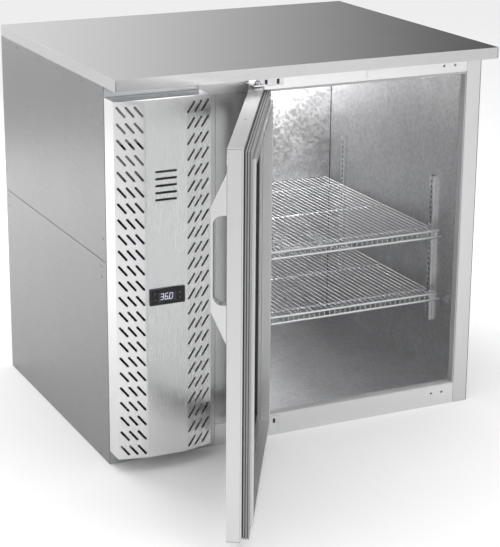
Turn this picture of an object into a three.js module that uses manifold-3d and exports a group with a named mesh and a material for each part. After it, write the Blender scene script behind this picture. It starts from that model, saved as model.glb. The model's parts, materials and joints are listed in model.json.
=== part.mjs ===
// Undercounter refrigerator with a side-mounted machine section, a slotted front panel, one glazed
// swing door, two wire shelves and a stainless worktop.
// Millimetres, +Z up, +Y towards the back. The origin is the centre of the case's base footprint.
import * as THREE from "three";
import { mergeVertices } from "three/addons/utils/BufferGeometryUtils.js";
import Module from "manifold-3d";

const wasm = await Module();
wasm.setup();

// ---------------------------------------------------------------- driving dimensions
const CLEAR = 0.3; // gap between pieces that touch
const SHEET = 1.2; // outer sheet metal
const CASE_W = 914.4;
const CASE_D = 672;
const CASE_H = 838;
const TOP_T = 25;
const TOP_OVERHANG = 66;
const SIDE_SEAM_Z = 460;
const SIDE_SEAM_W = 1.6;
const BASE_T = 2;
const PAST = 5; // how far a cutter runs past the piece that it cuts
const FUSE = 1; // how far joined solids of one piece run into each other

const FRAME_D = 19.7; // depth of the front frame members
const MACHINE_W = 252; // machine section, measured at the front frame
const MULLION_W = 90.5; // machine section to the cold cavity
const WALL_T = 40.9; // insulated right wall
const FLOOR_T = 50.5;
const CEILING_T = 43;
const BACK_T = 43;
const TOP_RAIL_H = 38;
const BOTTOM_RAIL_H = 50;
const LINER_T = 1;
const BREAKER_T = 3; // thermal breaker strip round the cavity mouth
const BREAKER_SET = 0.6; // its front edge behind the frame's face
const BREAKER_STEP = 2; // its lower run above the cavity floor
const MACHINE_FRAME_W = 24;
const MACHINE_FRAME_TOP = 48;
const MACHINE_FRAME_LOW = 60;
const POST_LAP = 3.5; // machine post starts this far behind the slotted panel's edge
const SPARE_HOLE_R = 3; // the hinge plate's holes, repeated for the other hand
const SPARE_HOLE_D = 10;
const SPARE_TOP_DROP = 21;
const SPARE_LOW_Z = 31.5;
const SWITCH_W = 40;
const SWITCH_H = 14;
const SWITCH_T = 0.7;
const SWITCH_DROP = 17; // switch plate's top edge below the worktop
const SWITCH_SHIFT = 30; // and its centre to the right of the door opening's centre

const LOUVRE_ROWS = 8;
const LOUVRE_LOW = 470;
const LOUVRE_PITCH = 30;
const LOUVRE_H = 8;
const LOUVRE_MARGIN = 40;
const GLAND_X = 70;
const GLAND_Z = 90;
const GLAND_R = 10.5;
const GLAND_L = 15;
const GLAND_BORE_R = 5;
const GLAND_FLANGE_R = 15;
const GLAND_FLANGE_T = 6;

const FRONT_LOW = 33; // door and front panel, bottom edge above the base
const FRONT_DROP = 22; // door and front panel, top edge below the worktop

const GRILLE_W = 217;
const GRILLE_EDGE_P = 54; // how far the panel stands proud at its two side edges
const GRILLE_RIDGE_P = 70; // and at its two ridges
const GRILLE_FACET_W = 64.5;
const GRILLE_T = 1.5;
const GRILLE_BACK_GAP = 3;
const SLOT_L = 24; // between the centres of a slot's round ends
const SLOT_W = 5.2;
const SLOT_TILT = 50; // degrees from level
const SLOT_COLUMNS = 3;
const SLOT_COLUMN_PITCH = 18.4;
const SLOT_ROW_PITCH = 33.7;
const SLOT_MARGIN_Z = 22;
const VENT_ROWS = 5; // plain level vents in the middle facet
const VENT_L = 44;
const VENT_PITCH = 15;
const VENT_BELOW_TOP = 181; // the middle row below the panel's top edge

const CONTROL_W = 80;
const CONTROL_H = 36;
const CONTROL_T = 4;
const CONTROL_BODY_D = 48;
const CONTROL_Z = 395;
const DISPLAY_W = 43;
const DISPLAY_H = 22;
const KEY_W = 9;
const KEY_H = 7;
const KEY_T = 2.6;
const KEY_PROUD = 0.6;
const KEY_POCKET = 3;
const KEY_SPOTS = { // centres, from the bezel's centre
  key_up: [27.5, 5.5],
  key_down: [27.5, -5.5],
  key_light: [-29, 7],
  key_power: [-29, -6],
};
const DISPLAY_T = 2;
const DISPLAY_SHIFT = -2; // display centre from the bezel's centre
const CONTROL_FLANGE = 4.8; // bezel past the body, all round

const DOOR_MARGIN = 25; // the door's overlap past the cavity, each side
const DOOR_T = 30;
const DOOR_OPEN = 120; // degrees
const STILE_W = 48;
const GASKET_T = 14;
const GASKET_W = 16;
const GASKET_SIDE_INSET = 9.5;
const GASKET_TOP_INSET = 8;
const GASKET_LOW_INSET = 4;
const SEAL_GAP = 2.3; // relaxed gasket to the frame when the door is shut
const PIVOT_IN = 19.6; // hinge axis from the door's hinge edge
const PIVOT_BACK = 16.5; // hinge axis from the door's outer face
const PIN_R = 4;
const PIN_CLEAR = 0.35;
const PIN_DEPTH = 20;
const PIN_ROOM = 1; // bore past the pin's tip
const HINGE_T = 2;
const HINGE_PLATE_W = 90;
const HINGE_TOP_DROP = 3; // top plate's upper edge below the worktop
const HINGE_TOP_H = 26;
const HINGE_LOW_Z = 8;
const HINGE_LOW_H = 38;
const HINGE_ARM_GAP = 2; // arm to the door's end
const HINGE_SLOT_IN = 12; // first slot from the plate's free end
const HINGE_SLOT_TOP = 21.5; // slot centres below the worktop, at the top plate
const HINGE_SLOT_LOW = 34; // and above the base, at the bottom plate
const HINGE_PROUD = 0.2; // hinge plates stand this far proud of their recesses
const HINGE_ARM_W = 30;
const HINGE_ARM_L = 44;
const HINGE_ARM_T = 3;
const HINGE_SLOT_W = 6;
const HINGE_SLOT_H = 11;
const HINGE_SLOT_PITCH = 28.6;

const GLASS_T = 12; // sealed double-glazed unit
const GLASS_SET = 4; // its outer pane behind the door's outer face
const SEAL_W = 7.5;
const SEAL_FROM = 2;
const SEAL_TO = 24;

const HANDLE_STAND = 30;
const HANDLE_T = 25;
const HANDLE_IN = 0.5; // its outer side in from the door's strike edge
const HANDLE_LOW = 438;
const HANDLE_FOOT_L = 329;
const HANDLE_GRIP_L = 199;
const HANDLE_GRIP_T = 4;
const FINGER_L = 173;
const FINGER_R = 18;

const LOCK_IN = 26; // lock axis from the strike edge
const LOCK_DROP = 28; // lock axis below the door's top edge
const BARREL_R = 8;
const BEZEL_R = 12;
const BEZEL_T = 2;
const BARREL_L = 13;
const BOLT_R = 4;
const BOLT_L = 75;
const BOLT_Y = 5; // bolt axis behind the hinge axis
const BOLT_ROOM = 3; // clearance round the bolt in the worktop's pocket
const BOLT_POCKET_H = 15;
const KEYWAY_W = 1.6;
const KEYWAY_H = 8;
const KEYWAY_D = 4;

const PILASTER_W = 18;
const PILASTER_D = 8;
const PILASTER_T = 1.2;
const PILASTER_LOW = 176;
const PILASTER_L = 357;
const PILASTER_FRONT_Y = 112;
const PILASTER_REAR_Y = 546;
const PILASTER_PITCH = 12.7;
const SLIT_W = 3.5;
const SLIT_H = 7;
const CLIP_REACH = 12;
const CLIP_W = 12;
const CLIP_H = 9;
const CLIP_T = 2;
const SLIT_START = 0.75; // first slit up the pilaster, in pitches

const SHELF_HEIGHTS = { lower: 257, upper: 412 }; // top of the wires
const SHELF_FRONT_Y = 67;
const SHELF_BACK_GAP = 6;
const SHELF_SIDE_GAP = 3;
const BAR_R = 3;
const CROSS_R = 2.5;
const WIRE_R = 1.5;
const WIRE_PITCH = 27.6; // every second wire of the real deck
const TRUSS_H = 15;
const WIRE_LAP = 1; // wires run this far into the front bar
const FLATTENED = 0.88; // half side of the square that stands for a round wire of radius 1

const FAN_BLADES = 5;
const FAN_HUB = 0.28; // hub radius and blade sizes, as shares of the fan's radius
const FAN_BLADE_L = 0.85;
const FAN_BLADE_W = 0.5;
const FAN_BLADE_MID = 0.575;
const FAN_BLADE_T = 1.6;
const FAN_PITCH = 28; // degrees

const COIL_T = 36;
const FIN_T = 1.2;
const TUBE_ROWS = 3;
const TUBE_R = 5;
const TUBE_OVERHANG = 5;

const EVAP_FRONT_Y = 130;
const EVAP_D = 395; // front to back
const EVAP_H = 340;
const EVAP_TOP_GAP = 35; // cover's top edge to the cavity ceiling
const EVAP_POCKET = 52;
const EVAP_LAP = 10; // cover past the air window, all round
const EVAP_COIL_W = 200;
const EVAP_COIL_FINS = 10;
const EVAP_COIL_IN = 20;
const EVAP_COIL_BACK = 6;
const EVAP_FAN_R = 58;
const EVAP_FAN_D = 14;
const EVAP_FAN_IN = 85; // fan axis from the cover's rear edge
const EVAP_FAN_BACK = 19; // fan's front behind the liner wall
const EVAP_MOTOR_R = 24;
const EVAP_SHAFT_L = 5;
const FAN_SHAFT_R = 4;
const FAN_RING_GAP = 4;
const AIR_SLOTS = 6;
const AIR_SLOT_LOW = 50;
const AIR_SLOT_PITCH = 44;
const AIR_SLOT_H = 9;
const AIR_SLOT_IN = 30;
const AIR_SLOT_L = 180;

const COND_X = 34;
const COND_SIDE_GAP = 50; // coil to the machine section's right side
const COND_BACK = 8; // coil behind the front frame
const COND_LOW = 60;
const COND_H = 280;
const COND_FINS = 12;
const SHROUD_LAP = 4;
const SHROUD_T = 2;
const COND_FAN_R = 76;
const COND_FAN_D = 18;
const COND_FAN_BACK = 10; // fan behind the shroud's front face
const COND_MOTOR_R = 32;
const COND_MOTOR_L = 50;
const COND_MOTOR_BACK = 6;
const MOTOR_STEM_W = 24;
const MOTOR_STEM_T = 4;
const MOTOR_FOOT_W = 60;
const MOTOR_FOOT_D = 30;
const MOTOR_FOOT_T = 3;
const MOTOR_FOOT_Y = 5;

const SHELL_R = 76;
const SHELL_H = 190;
const SHELL_Y = 420;
const SHELL_FOOT_W = 160;
const SHELL_FOOT_D = 120;
const SHELL_FOOT_T = 4;
const SHELL_LOW_ROUND = 0.18; // shares of the shell's height and radius where its ends round over
const SHELL_HIGH_ROUND = 0.66;
const SHELL_BASE_R = 0.82;
const TERMINAL_W = 50;
const TERMINAL_OUT = 22;
const TERMINAL_LOW = 70;
const TERMINAL_H = 60;

const LINE_R = 6;
const LINE_BEND = 40;
const LINE_ABOVE_FAN = 10; // suction line's level run above the evaporator fan's axis
const LINE_STEPS = 24;

const TRAY_X = 25;
const TRAY_SIDE_GAP = 22;
const TRAY_D = 95;
const TRAY_BACK_GAP = 17;
const TRAY_TOP = 52;
const TRAY_T = 2;

// ---------------------------------------------------------------- derived places (case corner frame)
// Within these groups X runs from the case's left side, Y from the front frame's face, Z from the base.
const CAVITY_X0 = MACHINE_W + MULLION_W;
const CAVITY_X1 = CASE_W - WALL_T;
const CAVITY_Z0 = FLOOR_T;
const CAVITY_Z1 = CASE_H - CEILING_T;
const CAVITY_Y1 = CASE_D - BACK_T;
const FRONT_TOP = CASE_H - FRONT_DROP;
const INNER_L = SHEET + CLEAR;
const INNER_R = CASE_W - SHEET - CLEAR;
const INNER_BACK = CASE_D - SHEET - CLEAR;
const INNER_TOP = CASE_H - CLEAR;
const RAIL_X1 = CAVITY_X1 + BREAKER_T;
const RAIL_Z0 = CASE_H - TOP_RAIL_H;
const POST_X0 = GRILLE_W - POST_LAP;
const DOOR_W = CAVITY_X1 - CAVITY_X0 + 2 * DOOR_MARGIN;
const SHUT_FACE_Y = -(DOOR_T + GASKET_T + SEAL_GAP);
const PIVOT_X = CAVITY_X0 - DOOR_MARGIN + PIVOT_IN;
const PIVOT_Y = SHUT_FACE_Y + PIVOT_BACK;
const BULKHEAD_X = MACHINE_W + CLEAR;
const GRILLE_MID_X = GRILLE_W / 2;
const EVAP_BACK_Y = EVAP_FRONT_Y + EVAP_D;
const EVAP_TOP = CAVITY_Z1 - EVAP_TOP_GAP;
const EVAP_LOW = EVAP_TOP - EVAP_H;
const EVAP_FAN_Z = (EVAP_LOW + EVAP_TOP) / 2;

// ---------------------------------------------------------------- materials
function metal(color, roughness) {
  return new THREE.MeshStandardMaterial({ color, roughness, metalness: 1 });
}

function plastic(color, roughness) {
  return new THREE.MeshStandardMaterial({ color, roughness, metalness: 0 });
}

const stainless = metal("#c4c4c6", 0.32);
const aluminium = metal("#b4b6b8", 0.45);
const galvanised = metal("#9ea1a3", 0.5);
const chrome = metal("#dcdde0", 0.12);
const copper = metal("#b87348", 0.35);
const blackPlastic = plastic("#1c1d1f", 0.45);
const blackEnamel = plastic("#17181a", 0.35);
const greyVinyl = plastic("#6e7072", 0.65);
const foam = plastic("#d9c88a", 0.9);
const darkWindow = plastic("#3c3d41", 0.2);
const glass = new THREE.MeshStandardMaterial({ color: "#c8d4d2", roughness: 0.05, metalness: 0 });

// ---------------------------------------------------------------- solid helpers
function toSolid(geometry) {
  const bare = geometry.clone();
  bare.deleteAttribute("normal");
  bare.deleteAttribute("uv");
  const welded = mergeVertices(bare, 1e-4);
  return new wasm.Manifold(new wasm.Mesh({
    numProp: 3,
    vertProperties: new Float32Array(welded.attributes.position.array),
    triVerts: new Uint32Array(welded.index.array),
  }));
}

function toGeometry(solid) {
  const mesh = solid.getMesh();
  const geometry = new THREE.BufferGeometry();
  geometry.setAttribute("position", new THREE.BufferAttribute(new Float32Array(mesh.vertProperties), 3));
  geometry.setIndex(new THREE.BufferAttribute(new Uint32Array(mesh.triVerts), 1));
  geometry.computeVertexNormals();
  return geometry;
}

// A block from its low corner to its high corner.
function block(low, high) {
  const size = high.map((value, axis) => value - low[axis]);
  const geometry = new THREE.BoxGeometry(...size);
  geometry.translate(low[0] + size[0] / 2, low[1] + size[1] / 2, low[2] + size[2] / 2);
  return toSolid(geometry);
}

// A round bar between two points.
function bar(from, to, radius, sides = 24) {
  const start = new THREE.Vector3(...from);
  const reach = new THREE.Vector3(...to).sub(start);
  const geometry = new THREE.CylinderGeometry(radius, radius, reach.length(), sides);
  geometry.translate(0, reach.length() / 2, 0);
  const up = new THREE.Vector3(0, 1, 0);
  const turn = new THREE.Quaternion().setFromUnitVectors(up, reach.clone().normalize());
  geometry.applyQuaternion(turn);
  geometry.translate(start.x, start.y, start.z);
  return toSolid(geometry);
}

// A flat outline in X and Y, raised along Z.
function raise(shape, low, high, curveSegments = 12) {
  const depth = high - low;
  const geometry = new THREE.ExtrudeGeometry(shape, { depth, bevelEnabled: false, curveSegments });
  geometry.translate(0, 0, low);
  return toSolid(geometry);
}

function outline(points) {
  return new THREE.Shape(points.map(([x, y]) => new THREE.Vector2(x, y)));
}

function joined(solids) {
  return solids.reduce((whole, solid) => whole.add(solid));
}

function cutFrom(solid, cutters) {
  return cutters.reduce((rest, cutter) => rest.subtract(cutter), solid);
}

// A frame in the X-Z plane: an outer rectangle less an inner one, thick along Y.
function ring(outer, inner, y0, y1) {
  const body = block([outer.x0, y0, outer.z0], [outer.x1, y1, outer.z1]);
  return body.subtract(block([inner.x0, y0 - 1, inner.z0], [inner.x1, y1 + 1, inner.z1]));
}

function inset(rect, side, top = side, bottom = side) {
  return { x0: rect.x0 + side, x1: rect.x1 - side, z0: rect.z0 + bottom, z1: rect.z1 - top };
}

function place(group, name, solid, material) {
  const mesh = new THREE.Mesh(toGeometry(solid), material);
  mesh.name = name;
  group.add(mesh);
  return mesh;
}

// ---------------------------------------------------------------- outer case
function buildCase(group) {
  const boltX = PIVOT_X - PIVOT_IN + DOOR_W - LOCK_IN;
  const boltY = PIVOT_Y + BOLT_Y;
  const boltPocket = bar(
    [boltX, boltY, CASE_H - PAST], [boltX, boltY, CASE_H + BOLT_POCKET_H], BOLT_R + BOLT_ROOM);
  const slab = block([0, -TOP_OVERHANG, CASE_H], [CASE_W, CASE_D, CASE_H + TOP_T]);
  place(group, "worktop", slab.subtract(boltPocket), stainless);

  const seamLow = SIDE_SEAM_Z - SIDE_SEAM_W / 2;
  const seamHigh = SIDE_SEAM_Z + SIDE_SEAM_W / 2;
  place(group, "side_panel_left_lower", block([0, 0, 0], [SHEET, CASE_D, seamLow]), stainless);
  place(group, "side_panel_left_upper", block([0, 0, seamHigh], [SHEET, CASE_D, INNER_TOP]), stainless);
  place(group, "side_panel_right", block([CASE_W - SHEET, 0, 0], [CASE_W, CASE_D, INNER_TOP]), stainless);

  place(group, "base_pan", block([INNER_L, FRAME_D + CLEAR, 0], [INNER_R, INNER_BACK, BASE_T]), galvanised);
  place(group, "back_panel",
    block([MACHINE_W + CLEAR, CASE_D - SHEET, 0], [INNER_R, CASE_D, INNER_TOP]), galvanised);
  place(group, "machine_rear_cover", buildRearCover(), galvanised);
}

function buildRearCover() {
  const cover = block([INNER_L, CASE_D - SHEET, 0], [MACHINE_W, CASE_D, INNER_TOP]);
  const louvres = [];
  for (let row = 0; row < LOUVRE_ROWS; row += 1) {
    const z = LOUVRE_LOW + row * LOUVRE_PITCH;
    louvres.push(block(
      [LOUVRE_MARGIN, CASE_D - PAST, z], [MACHINE_W - LOUVRE_MARGIN, CASE_D + PAST, z + LOUVRE_H]));
  }
  const glandHole = bar(
    [GLAND_X, CASE_D - PAST, GLAND_Z], [GLAND_X, CASE_D + PAST, GLAND_Z], GLAND_R + PIN_CLEAR);
  return cutFrom(cover, [...louvres, glandHole]);
}

// ---------------------------------------------------------------- front frame
function hingePlateOutline(topHinge) {
  const height = topHinge ? HINGE_TOP_H : HINGE_LOW_H;
  const z0 = topHinge ? CASE_H - HINGE_TOP_DROP - height : HINGE_LOW_Z;
  const x0 = PIVOT_X - HINGE_ARM_W / 2;
  return { x0, x1: x0 + HINGE_PLATE_W, z0, z1: z0 + height };
}

function buildFrontFrame(group) {
  const machineOuter = { x0: INNER_L, x1: POST_X0 - CLEAR, z0: 0, z1: INNER_TOP };
  const machineOpening = inset(machineOuter, MACHINE_FRAME_W, MACHINE_FRAME_TOP, MACHINE_FRAME_LOW);
  place(group, "machine_front_frame", ring(machineOuter, machineOpening, 0, FRAME_D), stainless);
  place(group, "machine_post", block([POST_X0, 0, 0], [MACHINE_W, FRAME_D, RAIL_Z0 - CLEAR]), stainless);

  const mullionX1 = CAVITY_X0 - BREAKER_T - CLEAR;
  place(group, "mullion_cover",
    block([MACHINE_W + CLEAR, 0, BOTTOM_RAIL_H + CLEAR], [mullionX1, FRAME_D, RAIL_Z0 - CLEAR]), stainless);
  place(group, "right_post", block([RAIL_X1 + CLEAR, 0, 0], [INNER_R, FRAME_D, INNER_TOP]), stainless);

  // The hinge can move to the other side: its plate holes are repeated, mirrored about the cavity.
  const mirror = CAVITY_X0 + CAVITY_X1;
  const rails = [
    ["top_rail", POST_X0, RAIL_Z0, INNER_TOP, hingePlateOutline(true), CASE_H - SPARE_TOP_DROP],
    ["bottom_rail", MACHINE_W + CLEAR, 0, BOTTOM_RAIL_H, hingePlateOutline(false), SPARE_LOW_Z],
  ];
  for (const [name, x0, z0, z1, plate, holeZ] of rails) {
    const rail = block([x0, 0, z0], [RAIL_X1, FRAME_D, z1]);
    const pocket = block(
      [plate.x0 - CLEAR, -PAST, plate.z0 - CLEAR], [plate.x1 + CLEAR, HINGE_T, plate.z1 + CLEAR]);
    const spares = [1, 0].map((step) => {
      const x = mirror - (plate.x1 - HINGE_SLOT_IN) + step * HINGE_SLOT_PITCH;
      return bar([x, -PAST, holeZ], [x, SPARE_HOLE_D, holeZ], SPARE_HOLE_R, 12);
    });
    place(group, name, cutFrom(rail, [pocket, ...spares]), stainless);
  }

  const mouth = { x0: CAVITY_X0, x1: CAVITY_X1, z0: CAVITY_Z0 + BREAKER_STEP, z1: CAVITY_Z1 };
  const strip = {
    x0: CAVITY_X0 - BREAKER_T, x1: RAIL_X1 - CLEAR, z0: BOTTOM_RAIL_H + CLEAR, z1: RAIL_Z0 - CLEAR,
  };
  place(group, "breaker_strip", ring(strip, mouth, BREAKER_SET, FRAME_D), stainless);

  const plateX = (CAVITY_X0 + CAVITY_X1) / 2 + SWITCH_SHIFT;
  const plateTop = CASE_H - SWITCH_DROP;
  place(group, "door_switch_plate",
    block(
      [plateX - SWITCH_W / 2, -CLEAR - SWITCH_T, plateTop - SWITCH_H],
      [plateX + SWITCH_W / 2, -CLEAR, plateTop]),
    stainless);
}

// ---------------------------------------------------------------- cold section
function buildColdSection(group) {
  const y0 = FRAME_D + CLEAR;
  const foamX0 = BULKHEAD_X + SHEET + CLEAR;
  const skin = LINER_T + CLEAR;
  const pocketLow = [CAVITY_X0 - EVAP_POCKET, EVAP_FRONT_Y, EVAP_LOW];
  const pocketHigh = [CAVITY_X0, EVAP_BACK_Y, EVAP_TOP];
  const foamBlock = block([foamX0, y0, BASE_T + CLEAR], [INNER_R, INNER_BACK, INNER_TOP]);
  const linerRoom = block(
    [CAVITY_X0 - skin, y0 - PAST, CAVITY_Z0 - skin], [CAVITY_X1 + skin, CAVITY_Y1 + skin, CAVITY_Z1 + skin]);
  place(group, "insulation", cutFrom(foamBlock, [linerRoom, block(pocketLow, pocketHigh)]), foam);
  place(group, "machine_bulkhead",
    block([BULKHEAD_X, y0, BASE_T + CLEAR], [BULKHEAD_X + SHEET, INNER_BACK, INNER_TOP]), galvanised);

  const linerShell = block([CAVITY_X0 - LINER_T, y0, CAVITY_Z0 - LINER_T],
    [CAVITY_X1 + LINER_T, CAVITY_Y1 + LINER_T, CAVITY_Z1 + LINER_T]);
  const cavity = block([CAVITY_X0, y0 - PAST, CAVITY_Z0], [CAVITY_X1, CAVITY_Y1, CAVITY_Z1]);
  const airWindow = block([CAVITY_X0 - PAST, EVAP_FRONT_Y + EVAP_LAP, EVAP_LOW + EVAP_LAP],
    [CAVITY_X0 + PAST, EVAP_BACK_Y - EVAP_LAP, EVAP_TOP - EVAP_LAP]);
  place(group, "liner", cutFrom(linerShell, [cavity, airWindow]), aluminium);

  buildEvaporator(group);
  buildPilasters(group);
}

function fanBlades(axisX, axisZ, radius, depth) {
  // Hub and blades about +Y; one end of the hub lies at y = 0.
  const pieces = [bar([axisX, 0, axisZ], [axisX, depth, axisZ], radius * FAN_HUB, 20)];
  for (let index = 0; index < FAN_BLADES; index += 1) {
    const blade = new THREE.BoxGeometry(radius * FAN_BLADE_L, FAN_BLADE_T, radius * FAN_BLADE_W);
    blade.rotateX(THREE.MathUtils.degToRad(FAN_PITCH));
    blade.translate(radius * FAN_BLADE_MID, depth / 2, 0);
    blade.rotateY((index * 2 * Math.PI) / FAN_BLADES);
    blade.translate(axisX, 0, axisZ);
    pieces.push(toSolid(blade));
  }
  return joined(pieces);
}

// Fins are upright plates across X; tubes run along X through them. The two end fins reach down as feet.
function finnedCoil(width, thickness, height, fins, endDrop) {
  const pitch = width / fins;
  const pieces = [];
  for (let index = 0; index <= fins; index += 1) {
    const x = index * pitch;
    const drop = index === 0 || index === fins ? endDrop : 0;
    pieces.push(block([x, 0, -drop], [x + FIN_T, thickness, height]));
  }
  for (let row = 0; row < TUBE_ROWS; row += 1) {
    const z = (height * (row + 0.5)) / TUBE_ROWS;
    pieces.push(bar(
      [-TUBE_OVERHANG, thickness / 2, z], [width + FIN_T + TUBE_OVERHANG, thickness / 2, z], TUBE_R, 6));
  }
  return joined(pieces);
}

function buildEvaporator(group) {
  const fanY = EVAP_BACK_Y - EVAP_FAN_IN;
  const coverX = CAVITY_X0 + CLEAR;
  const cover = block([coverX, EVAP_FRONT_Y, EVAP_LOW], [coverX + SHEET, EVAP_BACK_Y, EVAP_TOP]);
  const openings = [
    bar([coverX - PAST, fanY, EVAP_FAN_Z], [coverX + PAST, fanY, EVAP_FAN_Z], EVAP_FAN_R + FAN_RING_GAP, 24),
  ];
  for (let row = 0; row < AIR_SLOTS; row += 1) {
    const y = EVAP_FRONT_Y + AIR_SLOT_IN;
    const z = EVAP_LOW + AIR_SLOT_LOW + row * AIR_SLOT_PITCH;
    openings.push(block([coverX - PAST, y, z], [coverX + PAST, y + AIR_SLOT_L, z + AIR_SLOT_H]));
  }
  place(group, "evaporator_cover", cutFrom(cover, openings), aluminium);

  const coilH = EVAP_H - 2 * EVAP_COIL_IN;
  const coil = place(
    group, "evaporator_coil", finnedCoil(EVAP_COIL_W, COIL_T, coilH, EVAP_COIL_FINS, 0), aluminium);
  coil.rotation.z = Math.PI / 2;
  coil.position.set(CAVITY_X0 - EVAP_COIL_BACK, EVAP_FRONT_Y + EVAP_COIL_IN, EVAP_LOW + EVAP_COIL_IN);

  const fan = place(group, "evaporator_fan", fanBlades(0, 0, EVAP_FAN_R, EVAP_FAN_D), blackPlastic);
  fan.rotation.z = -Math.PI / 2;
  fan.position.set(CAVITY_X0 - EVAP_FAN_BACK, fanY, EVAP_FAN_Z);
  const motorX = CAVITY_X0 - EVAP_FAN_BACK - EVAP_SHAFT_L;
  const motor = joined([
    bar([CAVITY_X0 - EVAP_POCKET + CLEAR, fanY, EVAP_FAN_Z], [motorX, fanY, EVAP_FAN_Z], EVAP_MOTOR_R),
    bar(
      [motorX - FUSE, fanY, EVAP_FAN_Z],
      [CAVITY_X0 - EVAP_FAN_BACK - CLEAR, fanY, EVAP_FAN_Z], FAN_SHAFT_R, 12),
  ]);
  place(group, "evaporator_fan_motor", motor, blackEnamel);
}

const pilasterPlaces = [];
for (const [side, wallX, inward] of [["left", CAVITY_X0, 1], ["right", CAVITY_X1, -1]]) {
  for (const [end, y] of [["front", PILASTER_FRONT_Y], ["rear", PILASTER_REAR_Y]]) {
    pilasterPlaces.push({ name: `${side}_${end}`, wallX, inward, y });
  }
}

function buildPilasters(group) {
  const half = PILASTER_W / 2;
  const slits = Math.floor((PILASTER_L - PILASTER_PITCH) / PILASTER_PITCH);
  // A channel with its web towards the cavity: modelled with the wall at x = 0 and the web at +x.
  const hollow = block(
    [-PAST, PILASTER_T - half, -PAST],
    [PILASTER_D - PILASTER_T, half - PILASTER_T, PILASTER_L + PAST]);
  const channel = block([0, -half, 0], [PILASTER_D, half, PILASTER_L]).subtract(hollow);
  const cutters = [];
  for (let index = 0; index < slits; index += 1) {
    const z = PILASTER_PITCH * (index + SLIT_START);
    cutters.push(block(
      [PILASTER_D - 2 * PILASTER_T, -SLIT_W / 2, z], [PILASTER_D + PAST, SLIT_W / 2, z + SLIT_H]));
  }
  const pilaster = cutFrom(channel, cutters);
  const reach = PILASTER_D + CLEAR;
  const clip = joined([
    block([reach, -CLIP_W / 2, 0], [reach + CLIP_REACH, CLIP_W / 2, CLIP_T]),
    block([reach, -CLIP_W / 2, -CLIP_H], [reach + CLIP_T, CLIP_W / 2, FUSE]),
  ]);

  for (const spot of pilasterPlaces) {
    const turn = spot.inward > 0 ? 0 : Math.PI;
    const channelMesh = place(group, `pilaster_${spot.name}`, pilaster, stainless);
    channelMesh.rotation.z = turn;
    channelMesh.position.set(spot.wallX + spot.inward * CLEAR, spot.y, PILASTER_LOW);
    for (const [level, height] of Object.entries(SHELF_HEIGHTS)) {
      const rodBottom = height - 2 * WIRE_R - 2 * CROSS_R + CLEAR;
      const clipMesh = place(group, `shelf_clip_${level}_${spot.name}`, clip, stainless);
      clipMesh.rotation.z = turn;
      clipMesh.position.set(spot.wallX + spot.inward * CLEAR, spot.y, rodBottom - CLIP_T - CLEAR);
    }
  }
}

// ---------------------------------------------------------------- wire shelves
function buildShelf() {
  // Modelled with the top of the wires at z = 0.
  const x0 = CAVITY_X0 + SHELF_SIDE_GAP;
  const x1 = CAVITY_X1 - SHELF_SIDE_GAP;
  const wireInset = PILASTER_D + 2 * CLEAR;
  const backY = CAVITY_Y1 - SHELF_BACK_GAP;
  const wireZ = -WIRE_R;
  const crossZ = wireZ - (WIRE_R + CROSS_R) * FLATTENED + CLEAR;
  const lowBarZ = wireZ - TRUSS_H;
  const pieces = [
    bar([x0 + wireInset, SHELF_FRONT_Y, wireZ], [x1 - wireInset, SHELF_FRONT_Y, wireZ], BAR_R, 6),
    bar([x0, SHELF_FRONT_Y, lowBarZ], [x1, SHELF_FRONT_Y, lowBarZ], BAR_R, 6),
  ];
  const crossHalf = CROSS_R * FLATTENED;
  for (const y of [PILASTER_FRONT_Y, (PILASTER_FRONT_Y + PILASTER_REAR_Y) / 2, PILASTER_REAR_Y, backY]) {
    pieces.push(block(
      [x0 + wireInset, y - crossHalf, crossZ - crossHalf],
      [x1 - wireInset, y + crossHalf, crossZ + crossHalf]));
  }
  const span = x1 - x0 - 2 * wireInset - 4 * WIRE_R;
  const count = Math.floor(span / WIRE_PITCH);
  const first = (x0 + x1) / 2 - (count * WIRE_PITCH) / 2;
  const frontY = SHELF_FRONT_Y + BAR_R - WIRE_LAP;
  for (let index = 0; index <= count; index += 1) {
    const x = first + index * WIRE_PITCH;
    const half = WIRE_R * FLATTENED;
    pieces.push(block([x - half, frontY, wireZ - half], [x + half, backY + CROSS_R, wireZ + half]));
    pieces.push(block([x - half, frontY, lowBarZ], [x + half, frontY + 2 * half, wireZ]));
  }
  return joined(pieces);
}

function buildShelves(group) {
  const shelf = buildShelf();
  for (const [level, height] of Object.entries(SHELF_HEIGHTS)) {
    place(group, `shelf_${level}`, shelf, chrome).position.z = height;
  }
}

// ---------------------------------------------------------------- slotted front panel and controller
function slotCutter(length, width) {
  // Round-ended slot along X, cutting through along Y.
  const slot = new THREE.Shape();
  slot.absarc(length / 2, 0, width / 2, -Math.PI / 2, Math.PI / 2);
  slot.absarc(-length / 2, 0, width / 2, Math.PI / 2, (3 * Math.PI) / 2);
  const depth = 2 * (GRILLE_T + PAST);
  const geometry = new THREE.ExtrudeGeometry(slot, { depth, bevelEnabled: false, curveSegments: 1 });
  geometry.translate(0, 0, -depth / 2);
  geometry.rotateX(Math.PI / 2);
  return geometry;
}

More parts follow.
